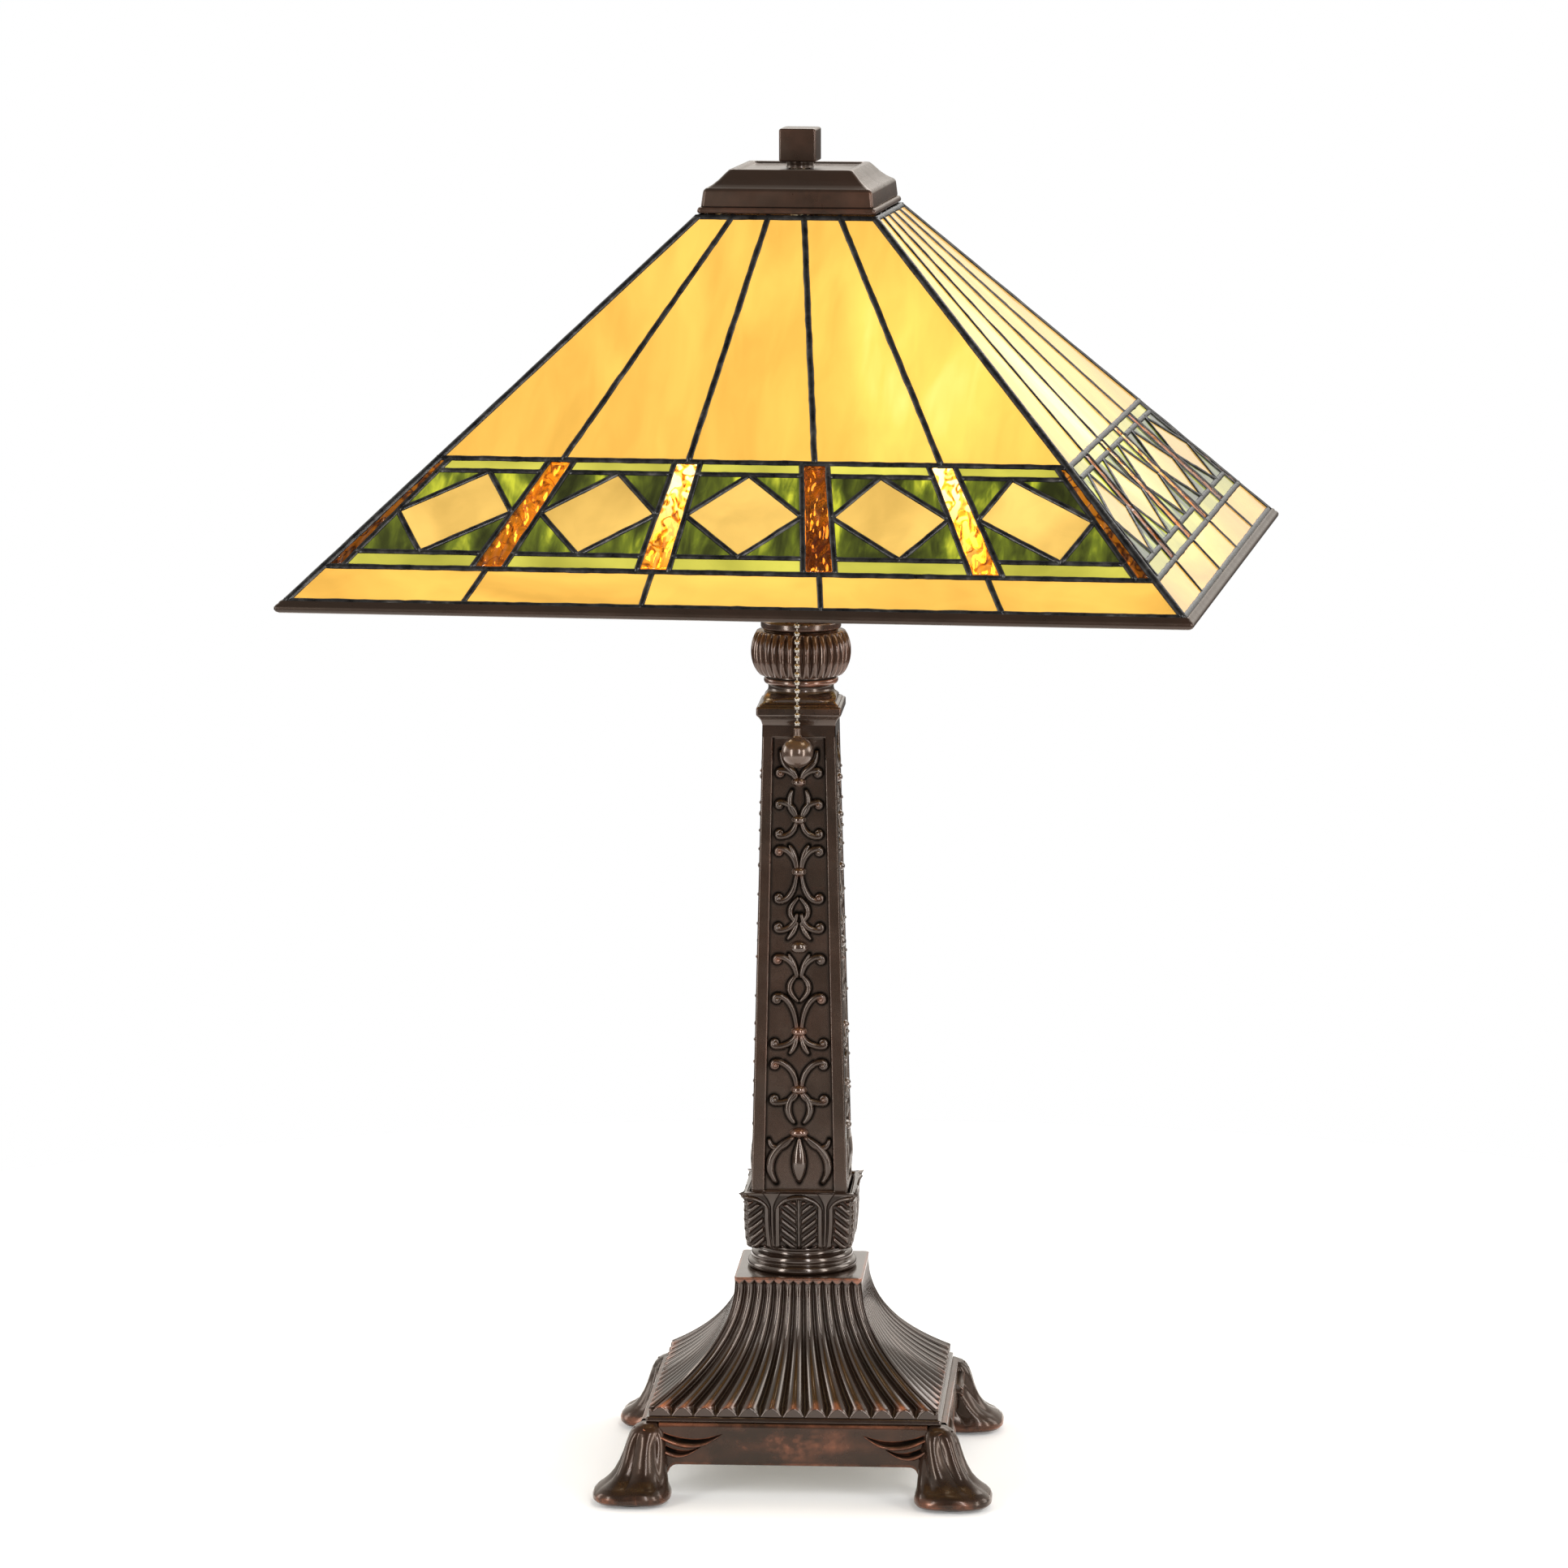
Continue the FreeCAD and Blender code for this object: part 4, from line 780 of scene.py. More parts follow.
def leaf_height(x, up, half, height):
    """Relief of the collar's leaves at a place on one face, in millimetres.

    A whole leaf is in the middle and half a leaf at each corner, with stalks between."""
    lift = 0.0
    leaf_half, tip, outset = 11.8, height - 1.3, 0.6
    for centre in (-half - outset, 0.0, half + outset):
        aside = abs(x - centre)
        if aside > leaf_half:
            continue
        # the leaf's outline: upright sides under a round arch
        arch = tip - 9.0 * (1 - math.sqrt(max(0.0, 1 - (aside / leaf_half) ** 2)))
        inside = min(leaf_half - aside, arch - up)
        if inside < 0:
            continue
        rim = math.sqrt(max(0.0, 1 - ((inside - 1.35) / 1.35) ** 2)) * 2.1
        rib = math.sqrt(max(0.0, 1 - (aside / 0.8) ** 2)) * 0.9
        slant = ((up - aside * 0.80 - 1.0) / 4.7) % 1.0 * 2 - 1
        stroke = math.sqrt(max(0.0, 1 - (slant / 0.66) ** 2))
        ends = min(1.0, max(0.0, (inside - 2.9) / 0.9)) * min(1.0, max(0.0, (aside - 1.0) / 0.9))
        lift = max(lift, rim, rib, 1.9 * ends ** 0.5 * stroke)
    for centre in ((-half - outset) / 2, (half + outset) / 2):
        aside = abs(x - centre)
        spread = 0.75 + 4.2 * max(0.0, (up - height + 8.5) / 8.5) ** 1.6
        if aside < spread:
            lift = max(lift, 0.9 * math.sqrt(1 - (aside / spread) ** 2))
    return lift


def leaf_collar():
    """Square collar of leaves in relief, whose corners curl outwards at the top."""
    bottom, top = heights("leaf_collar")
    across, up = 200, 120
    points, sunk = [], []
    for row in range(up + 1):
        climb = row / up
        z = bottom + (top - bottom) * climb
        flare = max(0.0, climb - 0.74) / 0.26
        half = 24.3 + 1.3 * math.sin(min(1.0, climb * 1.7) * math.pi / 2) + 0.8 * flare ** 2
        half -= 1.8 * max(0.0, 1 - climb / 0.07) ** 2
        for column in range(across + 1):
            share = column / across * 2 - 1
            curl = 2.9 * max(0.0, (abs(share) - 0.72) / 0.28) ** 2 * flare ** 1.5
            lift = leaf_height(share * half, z - bottom, half, top - bottom)
            soft = unit((1 - abs(share)) * 16)
            points.append((share * (half + 0.3 + curl),
                           -(half + lift * soft + curl + 0.3 * (1 - soft)), z))
            # black patina and painted shade on the low ground between the leaves
            sunk.append(0.5 * max(0.0, 1 - lift / 0.8) * soft * (climb < 0.94))
    sides = four_times(points, ring_faces(up + 1, across + 1, closed=False))
    lip = square_turned([(27.6, top - 0.5), (26.6, top), (25.2, top - 0.2), (24.5, top - 2.6),
                         (24.2, bottom + 16.0)], 0.8)
    under = square_turned([(6.0, bottom + 0.2), (24.0, bottom + 0.3)], 0.8)
    casting("leaf_collar_casting", joined([sides, lip, under]), "_dome", "leaf_collar", 0.45,
            sunk=sunk * 4)


# ================================================================ column

COLUMN_BOTTOM, COLUMN_TOP = heights("column_shaft")
PANEL_BOTTOM, PANEL_TOP = 144.6, 371.2
PANEL_DEPTH = 1.6
ROUNDING = 0.34


def shaft_half(z):
    foot, head = 24.1, 18.0
    return foot + (head - foot) * (z - COLUMN_BOTTOM) / (COLUMN_TOP - COLUMN_BOTTOM)


def panel_half(z):
    foot, head = 17.5, 13.0
    return foot + (head - foot) * (z - PANEL_BOTTOM) / (PANEL_TOP - PANEL_BOTTOM)


def column_shaft():
    """Tapered shaft; each face has a bevelled step down into its panel, whose edge is a
    little ragged from casting; black patina and painted shade lie round the relief and at the
    step's foot."""
    bevel = [(-0.30, 0.0), (-0.05, -0.08), (0.18, -0.35), (0.30, -0.9), (0.42, -1.45),
             (0.75, -PANEL_DEPTH)]
    count = 280
    floor_rows = [PANEL_BOTTOM + 1.2 + (PANEL_TOP - PANEL_BOTTOM - 2.4) * k / count
                  for k in range(count + 1)]
    rows = [(z, 0.0) for z in (COLUMN_BOTTOM, PANEL_BOTTOM - 3, PANEL_BOTTOM - 0.9)]
    rows += [(PANEL_BOTTOM + shift, depth) for shift, depth in bevel]
    rows += [(z, -PANEL_DEPTH) for z in floor_rows]
    rows += [(PANEL_TOP - shift, depth) for shift, depth in reversed(bevel)]
    rows += [(z, 0.0) for z in (PANEL_TOP + 0.9, PANEL_TOP + 2.0, COLUMN_TOP)]
    rounding = [(0.0, ROUNDING), (0.12, 0.17), (0.32, 0.05), (0.60, 0.0), (1.1, 0.0)]
    strands = [(x, z, radius) for line, radii in relief_strands()
               for (x, z), radius in zip(line, radii)]
    tree = KDTree(len(strands))
    for index, (x, z, radius) in enumerate(strands):
        tree.insert((x, 0, z), index)
    tree.balance()
    points, sunk = [], []
    for z, row_depth in rows:
        half, inner = shaft_half(z), panel_half(min(max(z, PANEL_BOTTOM), PANEL_TOP))
        ragged = 0.16 * wander(z * 0.9, 2.0, 0.0)
        line = [(half - ROUNDING - shift, -pull) for shift, pull in rounding]
        line += [(inner + 0.9, 0.0)]
        line += [(inner - shift + ragged * (depth < 0), depth) for shift, depth in bevel]
        line += [((inner - 1.1) * (1 - k / 22), -PANEL_DEPTH) for k in range(23)]
        full = [(-x, depth) for x, depth in line[:-1]] + line[::-1]
        for x, depth in full:
            level = max(depth, row_depth)
            points.append((x, -(half + level), z))
            near = 0.0
            # painted shade with black patina: near the relief's strands and along the foot of the
            # bevel
            if level < -0.8:
                _, index, apart = tree.find((x, 0, z))
                near = unit(1.3 - max(0.0, apart - strands[index][2]) / 1.3)
                near = max(near, 1 - abs(inner - 0.6 - abs(x)) / 0.9)
            sunk.append(near)
    around = len(points) // len(rows)
    casting("column_casting", four_times(points, ring_faces(len(rows), around, closed=False)), "",
            "column_shaft", 0.35, sunk=sunk * 4)


def on_panel(x, z, lift=0.0):
    """Place on the front panel's floor."""
    return Vector((x, -(shaft_half(z) - PANEL_DEPTH + lift), z))


def bezier(controls, steps):
    """Points along a cubic curve given by its four controls (x, z)."""
    p0, p1, p2, p3 = map(Vector, controls)
    line = []
    for index in range(steps + 1):
        t = index / steps
        line.append(p0 * (1 - t) ** 3 + p1 * 3 * t * (1 - t) ** 2 + p2 * 3 * t * t * (1 - t)
                    + p3 * t ** 3)
    return line


def scroll(knot, centre, radius):
    """A strand that leaves the middle at a knot, passes over a curl and winds into it.

    knot is the height where it leaves the middle and centre the curl's (x, z)."""
    thickness = 1.6
    up = 1 if centre[1] > knot else -1
    curl_x, curl_z = centre
    crown = (curl_x - radius * 0.10, curl_z + up * radius)
    line = bezier([(1.1, knot), (1.5, knot + (crown[1] - knot) * 0.60),
                   (curl_x * 0.50, crown[1]), crown], 14)
    for index in range(1, 19):
        share = index / 18
        angle = math.radians(96 - 390 * share)
        reach = radius * (1 - 0.55 * share)
        line.append(Vector((curl_x + reach * math.cos(angle),
                            curl_z + up * reach * math.sin(angle))))
    radii = []
    for index in range(len(line)):
        share = index / (len(line) - 1)
        swell = 0.60 + 0.40 * math.sin(math.pi * min(1.0, share * 1.35)) ** 0.8
        radii.append(thickness * swell * (1.0 - 0.25 * max(0.0, share - 0.6) / 0.4))
    return line, radii


def blob(x, z, half_width, half_height, lift):
    """A low rounded boss on the panel."""
    rows, around = 8, 20
    points = []
    for row in range(rows + 1):
        tilt = math.radians(82) * row / rows
        for angle in circle(around):
            points.append(tuple(on_panel(x + half_width * math.cos(tilt) * math.cos(angle),
                                         z + half_height * math.cos(tilt) * math.sin(angle),
                                         lift * math.sin(tilt) - 0.2)))
    top = rows * around
    return points, ring_faces(rows + 1, around) + [tuple(range(top, top + around))]


# scrolls of the panel: height of the knot, then the curl's distance from the middle,
# its height and its radius
SCROLLS = [
    (349.0, 9.0, 353.2, 1.65), (330.3, 9.4, 337.4, 1.55), (330.3, 9.4, 323.4, 1.65),
    (304.4, 9.6, 314.2, 1.7), (304.4, 9.7, 291.4, 1.75), (283.5, 9.9, 276.8, 1.75),
    (251.5, 10.4, 260.2, 1.75), (224.6, 10.8, 240.6, 1.85), (224.6, 11.7, 218.8, 1.8),
    (195.4, 11.7, 207.6, 1.85), (194.0, 12.0, 190.6, 1.9),
]
KNOTS = [(349.0, 3.3), (330.3, 3.3), (304.4, 3.3), (224.6, 3.7), (195.4, 3.8), (173.8, 4.5)]
# pairs of leaves, each a curve of four (x, z) controls and a thickness
LEAVES = [
    ([(0.9, 349.5), (2.2, 357.0), (8.6, 355.0), (8.9, 364.6)], 1.5),
    ([(0.9, 331.0), (6.4, 336.5), (4.8, 341.0), (3.3, 345.0)], 1.25),
    ([(0.8, 305.0), (1.2, 311.0), (3.0, 315.0), (4.9, 317.6)], 1.15),
    ([(0.3, 291.5), (5.8, 286.5), (5.8, 282.5), (0.3, 278.0)], 1.15),
    ([(0.8, 278.5), (2.2, 275.5), (3.6, 273.0), (5.8, 270.6)], 1.1),
    ([(0.3, 253.5), (6.4, 248.5), (6.2, 244.5), (0.3, 239.5)], 1.2),
    ([(0.8, 252.0), (1.6, 257.0), (3.0, 259.0), (5.2, 263.4)], 1.15),
    ([(0.9, 223.6), (1.2, 219.0), (2.8, 216.0), (4.8, 213.4)], 1.2),
    ([(0.8, 196.5), (1.6, 203.5), (4.4, 206.0), (7.2, 209.4)], 1.1),
    ([(0.9, 194.5), (7.6, 189.0), (6.2, 183.0), (2.2, 178.6)], 1.5),
    ([(2.6, 171.6), (14.6, 165.0), (17.4, 156.6), (11.4, 148.6)], 1.75),
    ([(3.0, 172.4), (7.0, 165.2), (14.2, 163.6), (15.0, 170.6)], 1.35),
]


def relief_strands():
    """Every strand of one panel: its (x, z) points and the radius at each. The seed is last."""
    strands = []
    for sign in (-1, 1):
        for knot, x, z, radius in SCROLLS:
            line, radii = scroll(knot, (x, z), radius)
            strands.append(([(sign * p[0], p[1]) for p in line], radii))
        for controls, thickness in LEAVES:
            radii = [max(0.35, 1.22 * thickness * math.sin(math.pi * (0.14 + 0.74 * k / 20)) ** 0.7)
                     for k in range(21)]
            strands.append(([(sign * p[0], p[1]) for p in bezier(controls, 20)], radii))
    seed = [(0.0, 171.5 - 23.0 * k / 24) for k in range(25)]
    strands.append((seed, [0.35 + 3.3 * math.sin(math.pi * (k / 24) ** 1.15) ** 0.8
                           for k in range(25)]))
    return strands


def rubbed_relief(points):
    """Copper on the tops of the knots and here and there on the curls."""
    places = [(0.0, z, half) for z, half in KNOTS]
    places += [(sign * x, z, 1.9) for _, x, z, _ in SCROLLS for sign in (-1, 1)]
    worn = np.zeros(len(points))
    x, y, z = points.T
    across = np.where(abs(y) > abs(x), x, y)
    for index, (centre_x, centre_z, reach) in enumerate(places):
        apart = np.hypot(across - centre_x, z - centre_z) / reach
        amount = 0.32 if centre_x == 0 else 0.36 * (index % 3 == 0)
        worn = np.maximum(worn, amount * np.clip(1.3 - apart, 0, 1))
    return worn


def column_relief():
    """The scrolls, leaves, knots and seeds cast in relief on the four panels."""
    strands = relief_strands()
    parts = [sweep([on_panel(x, z, 0.4) for x, z in line], radii, 1.15)
             for line, radii in strands[:-1]]
    seed, widths = strands[-1]
    parts.append(sweep([on_panel(x, z, 0.2) for x, z in seed], widths, 0.75, around=20))
    parts += [blob(sign * x, z, 1.6, 1.6, 3.0) for sign in (-1, 1) for _, x, z, _ in SCROLLS]
    parts += [blob(0, z, half + 0.4, 2.6, 3.6) for z, half in KNOTS]
    parts.append(blob(0, 266.6, 4.6, 3.4, 3.2))
    points, faces = four_times(*joined(parts))
    sunk = []
    # painted shade with black patina: the strands darken low down, where they meet the panel
    for x, y, z in points:
        above = max(abs(x), abs(y)) - shaft_half(z) + PANEL_DEPTH
        sunk.append(unit(1 - (above - 0.2) / 0.8))
    casting("column_relief", (points, faces), "_relief", None, 0.5, rubbed_relief, sunk)


def column_capital():
    """Square capital: a cove swings out under an upright band."""
    outline = profile("column_capital", [(17.6, -0.4), (18.1, 0.3), (18.3, 1.4), (18.9, 2.8),
                                         (19.9, 4.2), (20.7, 5.0), (20.9, 5.6)],
                      [(20.9, -0.7), (20.3, 0.0), (6.0, 0.0)], 0.6)
    casting("capital_casting", square_turned(outline, 0.9), "", "column_capital", 0.8)


def neck():
    """From the square capital up to the round neck, with its mouldings."""
    bottom = heights("neck_ring")[0]
    outline = profile("neck_ring", [(19.6, 0.0), (19.4, 0.7), (18.0, 1.5), (17.8, 2.2), (18.3, 3.0),
                                    (18.0, 4.0), (17.0, 5.2), (16.3, 6.4), (16.1, 7.6),
                                    (16.2, 8.6), (16.6, 9.3), (17.8, 9.7), (18.4, 10.8),
                                    (18.2, 12.2), (17.5, 12.9)], [(17.6, 0.0), (6.0, 0.0)], 0.7, 3)
    points = []
    for half, z in outline:
        corner = half * (0.08 + 0.90 * unit((z - bottom - 1.2) / 4.4) ** 0.8)
        points += [(x, y, z) for x, y in square_ring(half, corner, 20)]
    casting("neck_turning", (points, ring_faces(len(outline), 4 * 21)), "", "neck_ring", 1.6)


GADROONS = 34


def gadrooned_knop():
    """A round knop with upright lobes that close over at the top and the bottom."""
    bottom, top = heights("gadrooned_knop")
    waist, bulge = 17.0, 7.7
    middle, swell = 411.9, 12.9
    outline = [(6.0, bottom), (16.8, bottom)]
    for row in range(49):
        z = bottom + (top - bottom) * row / 48
        round_out = math.sqrt(max(0.0, 1 - ((z - middle) / swell) ** 2))
        outline.append((waist + bulge * round_out, z))
    outline += [(18.0, top), (6.0, top)]

    def lobe(angle, radius, z):
        if radius < waist:
            return radius
        t = (z - bottom) / (top - bottom)
        fade = unit(t / 0.16) ** 0.5 * unit((1 - t) / 0.10) ** 0.5
        wave = abs(math.sin(GADROONS / 2 * angle))
        return radius - fade * 2.5 * (1 - wave ** 0.7)

    casting("gadrooned_knop_casting", lathe(outline, GADROONS * 14, lobe), "_warm",
            "gadrooned_knop", 0.9)


def knop_cup():
    outline = profile("knop_cup", [(6.0, 0.0), (18.4, 0.0), (18.6, 1.0), (19.8, 1.8)],
                      [(19.9, -1.2), (19.0, 0.0), (6.0, 0.0)], 0.6)
    casting("knop_cup_turning", lathe(outline), "", "knop_cup", 1.2)


# ================================================================ pull chain

CHAIN_PITCH = 4.03
BEAD_RADIUS = 1.5


def pull_chain():
    """Nickel beads with waists, joined by thin links, and the ball with its collar."""
    bottom, top = heights("pull_chain")
    outline = [(0.02, bottom)]
    for bead in range(round((top - bottom) / CHAIN_PITCH)):
        middle = bottom + CHAIN_PITCH * (bead + 0.5)
        outline += [(0.5, middle - 1.75), *arc(BEAD_RADIUS, middle, -72, 72, 12),
                    (0.5, middle + 1.75)]
    chain = lathe(outline + [(0.02, top)], 20)

    low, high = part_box("pull_ball")
    radius = (high[0] - low[0]) / 2 / MM
    bottom, top = heights("pull_ball")
    middle = bottom + radius
    outline = [(0.02, bottom)] + arc(radius, middle, -90, 70, 39)[1:]
    outline += eased([(2.3, middle + radius * 0.97), (1.7, middle + radius + 0.4),
                      (1.7, top - 0.4), (1.2, top), (0.02, top)], 0.3)
    ball = lathe(outline, 64)

    low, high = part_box("pull_chain")
    place = Matrix.Translation((0, (low[1] + high[1]) / 2 / MM, 0))
    piece("bead_chain", placed(chain, place), "nickel_beads", "pull", "pull_chain")
    piece("chain_ball", placed(ball, place), "ball_bronze", "pull", "pull_ball")


# ================================================================ leaded shade

SLOPE = math.hypot(RIM_HALF - APERTURE_HALF, APERTURE_HEIGHT - RIM_HEIGHT)
LEAN = math.atan2(APERTURE_HEIGHT - RIM_HEIGHT, RIM_HALF - APERTURE_HALF)
GLASS = 3.0
# the columns of a side: where its upright lines stand, as shares of its half width
LINES = (-1, -0.6, -0.2, 0.2, 0.6, 1)


def share_up(share):
    """How far up the slope a side has this share of its width at the rim."""
    return RIM_HALF * (1 - share) / (RIM_HALF - APERTURE_HALF) * SLOPE


BAND_BOTTOM, BAND_TOP = share_up(0.928), share_up(0.7095)
STRIP_LOW, STRIP_HIGH = BAND_BOTTOM + 9.2, BAND_TOP - 7.4
# widths of the amber bars at the band's foot, and how much narrower they are at its top
BAR_WIDTH, BAR_TAPER = 15.2, 3.0
HIP_BAR_WIDTH, HIP_BAR_TAPER = 9.4, 3.2


def hip_turn(side):
    return Matrix.Rotation(SHADE_TURN + QUARTER * side, 4, "Z")


def side_matrix(side):
    """From a side's own frame (x along the rim, y up the slope, z outwards) to the lamp's."""
    return (hip_turn(side) @ Matrix.Translation((0, -RIM_HALF, RIM_HEIGHT))
            @ Matrix.Rotation(LEAN, 4, "X"))


def on_line(line, up):
    half = RIM_HALF - (RIM_HALF - APERTURE_HALF) * up / SLOPE
    return Vector((LINES[line] * half, up))


def bar_edge(line, up, side):
    """Point on one edge of the amber bar on a column line, as the glass is laid out."""
    share = (up - BAND_BOTTOM) / (BAND_TOP - BAND_BOTTOM)
    if line in (0, len(LINES) - 1):
        inwards = 1 if line == 0 else -1
        width = HIP_BAR_WIDTH - HIP_BAR_TAPER * share
        offset = width * inwards if side == inwards else 0.0
    else:
        offset = side * (BAR_WIDTH - BAR_TAPER * share) / 2
    return on_line(line, up) + Vector((offset, 0))


def seams():
    """Every soldered line of one side: start, end and half width, in the side's frame."""
    fine, medium = 1.38, 1.5
    last = len(LINES) - 1
    found = []
    for line in range(1, last):
        found.append((on_line(line, BAND_TOP), on_line(line, SLOPE), medium))
        found.append((on_line(line, 0), on_line(line, BAND_BOTTOM), fine))
    for up in (BAND_BOTTOM, BAND_TOP):
        found.append((on_line(0, up), on_line(-1, up), medium))
    for line in range(last + 1):
        for side in (1,) if line == 0 else (-1,) if line == last else (-1, 1):
            found.append((bar_edge(line, BAND_BOTTOM, side), bar_edge(line, BAND_TOP, side), fine))
    for line in range(last):
        for up in (STRIP_LOW, STRIP_HIGH):
            found.append((bar_edge(line, up, 1), bar_edge(line + 1, up, -1), fine))
        corners = [bar_edge(line, STRIP_LOW, 1), bar_edge(line + 1, STRIP_LOW, -1),
                   bar_edge(line + 1, STRIP_HIGH, -1), bar_edge(line, STRIP_HIGH, 1)]
        middles = [(corners[k] + corners[(k + 1) % 4]) / 2 for k in range(4)]
        found += [(middles[k - 1], middles[k], fine) for k in range(4)]
    for up in (SLOPE - 1.2, 0.9):
        found.append((on_line(0, up), on_line(-1, up), medium))
    return found


def bead(start, end, half_width, seed):
    """A soldered line: straight sides within the glass, and a slightly lumpy crown on both
    faces. Points are in the side's frame."""
    crown, overlap, step_length = 0.85, 0.5, 3.2
    start, end = Vector((*start, 0)), Vector((*end, 0))
    along = (end - start).normalized()
    outward = Vector((0, 0, 1))
    across = outward.cross(along)
    steps = max(3, int((end - start).length / step_length))
    start, end = start - along * overlap, end + along * overlap
    section = []
    for face in (1, -1):
        for k in range(7):
            angle = math.pi * (k / 6 + (face < 0))
            section.append((math.cos(angle), (face - 1) * GLASS / 2, math.sin(angle) * crown))
    points = []
    for step in range(steps + 1):
        spot = start.lerp(end, step / steps)
        lump = wander(spot.x * 0.21, spot.y * 0.21, seed * 3.7)
        drift = wander(spot.x * 0.10 + 40, spot.y * 0.10, seed * 5.1)
        wide = half_width * (1 + 0.16 * lump)
        points += [tuple(spot + across * (x * wide + 0.22 * drift)
                         + outward * (level + lift * (1 + 0.30 * lump)))
                   for x, level, lift in section]
    return capped(points, ring_faces(steps + 1, len(section)), len(section))


def solder_lines():
    for side, name in enumerate(SIDES):
        lines = joined([bead(*seam, index + side * 100) for index, seam in enumerate(seams())])
        piece(f"solder_{name}", placed(lines, side_matrix(side)), "black_patina_solder", "shade",
              f"solder_lines_{name}")


def hip_beads():
    """The rounded solder along the four hips, inside and out."""
    parts = []
    steps = 80
    outer, inner = (0.9, 2.15, 0.85), (5.2, 2.4, 0.7)
    outwards = Vector((1, -1, 1.0)).normalized()
    for side in range(4):
        turn = hip_turn(side)
        for inset, radius, squash in (outer, inner):
            path, radii = [], []
            for step in range(steps + 1):
                share = step / steps
                half = RIM_HALF + (APERTURE_HALF - RIM_HALF) * share
                z = RIM_HEIGHT + (APERTURE_HEIGHT - RIM_HEIGHT) * share
                path.append(turn @ (Vector((half, -half, z)) - outwards * inset))
                radii.append(radius * (1 + 0.10 * wander(share * 19, side * 7.0, inset)))
            parts.append(sweep(path, radii, squash, turn @ outwards))
    piece("hip_solder", joined(parts), "black_patina_solder", "shade")


def rim_channel():
    """Rolled metal channel along the bottom edge: a round bead with a fine upper lip."""
    outline = [(213.2, 460.7), (213.9, 460.2), (214.3, 459.4), (215.2, 458.9), (216.0, 457.9),
               (216.0, 456.8), (215.3, 455.7), (214.1, 455.1), (212.6, 455.2), (211.6, 455.9),
               (210.4, 456.9), (209.6, 457.5), (210.4, 458.3), (212.8, 460.7), (213.2, 460.7)]
    roll = placed(square_turned(outline, 1.4, 8), hip_turn(0))
    piece("rim_channel_roll", roll, "rim_channel_metal", "shade", "rim_channel",
          0.5)


# painted glow, one value for each bar: how much of the bulbs' light comes through it, on the
# front and back and on the other two sides
BAR_LIGHT = ((0.30, 0.40, 1.0, 0.08, 1.0, 0.40), (0.30, 0.35, 0.80, 0.80, 0.35, 0.30))


def amber_bars():
    """Rippled cathedral glass in the band: each bar is a fine grid with raised ripples."""
    across, along = 22, 56
    wide = across + 1
    half = wide * (along + 1)
    # round the edge of the grid, to join its front and back
    border = [k for k in range(across)] + [across + row * wide for row in range(along)]
    border += [along * wide + across - k for k in range(across)]
    border += [(along - row) * wide for row in range(along)]
    walls = [(here, here + half, there + half, there)
             for here, there in zip(border, border[1:] + border[:1])]
    faces = ring_faces(along + 1, wide, closed=False)
    faces += flipped(ring_faces(along + 1, wide, half, False)) + walls
    hip_trim, trim = 2.26, 1.2
    parts, lit = [], []
    for side in range(4):
        matrix = side_matrix(side)
        for line in range(len(LINES)):
            left, right = [[bar_edge(line, up, edge) for up in (BAND_BOTTOM, BAND_TOP)]
                           for edge in (-1, 1)]
            trim_left = hip_trim if line == 0 else trim
            trim_right = hip_trim if line == len(LINES) - 1 else trim
            points = []
            for depth, lift in ((0, 1), (-GLASS, -1)):
                for row in range(along + 1):
                    t = 0.025 + 0.95 * row / along
                    low = left[0].lerp(left[1], t) + Vector((trim_left, 0))
                    high = right[0].lerp(right[1], t) - Vector((trim_right, 0))
                    for column in range(wide):
                        spot = low.lerp(high, column / across)
                        place = Vector((spot.x * 0.34, spot.y * 0.13, side * 9.0 + line))
                        wave = noise.noise(place) + 0.35 * noise.noise(place * 2.1)
                        inner = min(1.0, min(column, across - column) / across * 6)
                        z = depth + lift * 0.8 * wave * inner
                        points.append(tuple(matrix @ Vector((spot.x, spot.y, z))))
                        # painted glow, brighter towards the top of the band
                        lit.append(BAR_LIGHT[side % 2][line] * (0.45 + 0.75 * t))
            parts.append((points, faces))
    bars = piece("amber_ripple_bars", joined(parts), "amber_ripple", "shade",
                 "amber_bars")
    layer = bars.data.attributes.new("lit", "FLOAT", "POINT")
    layer.data.foreach_set("value", lit)


def vase_cap():
    """Spun and stamped square cap: lip, band, cove and a sunk top, a little uneven."""
    bottom, top = heights("vase_cap")
    outline = profile("vase_cap", [(39.0, 0.6), (43.4, 0.0), (43.9, 1.2), (43.3, 2.9), (42.0, 3.1),
                                   (42.2, 3.8), (41.4, 10.6), (40.5, 11.8), (39.2, 12.4),
                                   (37.2, 13.6), (34.6, 15.8), (32.2, 18.4)],
                      [(30.9, -0.9), (29.9, 0.0), (27.6, -0.1), (26.4, -1.2), (24.5, -1.4),
                       (5.2, -1.4)], 0.7, 3)
    points, faces = square_turned(outline, 1.7, 8)
    dented = []
    for x, y, z in points:
        swell = 1 + 0.25 * wander(x * 0.05, y * 0.05, z * 0.09) / 40
        dented.append((x * swell, y * swell, z))
    under = square_turned([(5.2, top - 4.0), (28.0, top - 4.4), (38.0, bottom + 9.0),
                           (39.0, bottom + 0.6)], 1.7, 8)
    shape = placed(joined([(dented, faces), under]), hip_turn(0))
    piece("vase_cap_stamping", shape, "bronze_sheet", "shade", "vase_cap", 1.3)


def finial():
    """Square block on a round neck."""
    block = 3.3
    box = profile("finial", [(0.05, block), (8.6, block), (9.1, block + 0.5)],
                  [(9.1, -0.7), (8.3, 0.0), (0.05, 0.0)], 0.6)
    stem = profile("finial", [(5.0, 0.0), (6.9, 0.0), (6.4, 1.2), (6.8, block - 0.6),
                              (6.8, block + 0.2)], [], 0.4)
    shape = placed(joined([square_turned(box, 1.0), lathe(stem, 48)]), hip_turn(0))
    piece("finial_block", shape, "bronze_sheet", "finial", "finial", 0.9)


# ================================================================ bulbs and fittings

THREAD_PITCH = 3.63


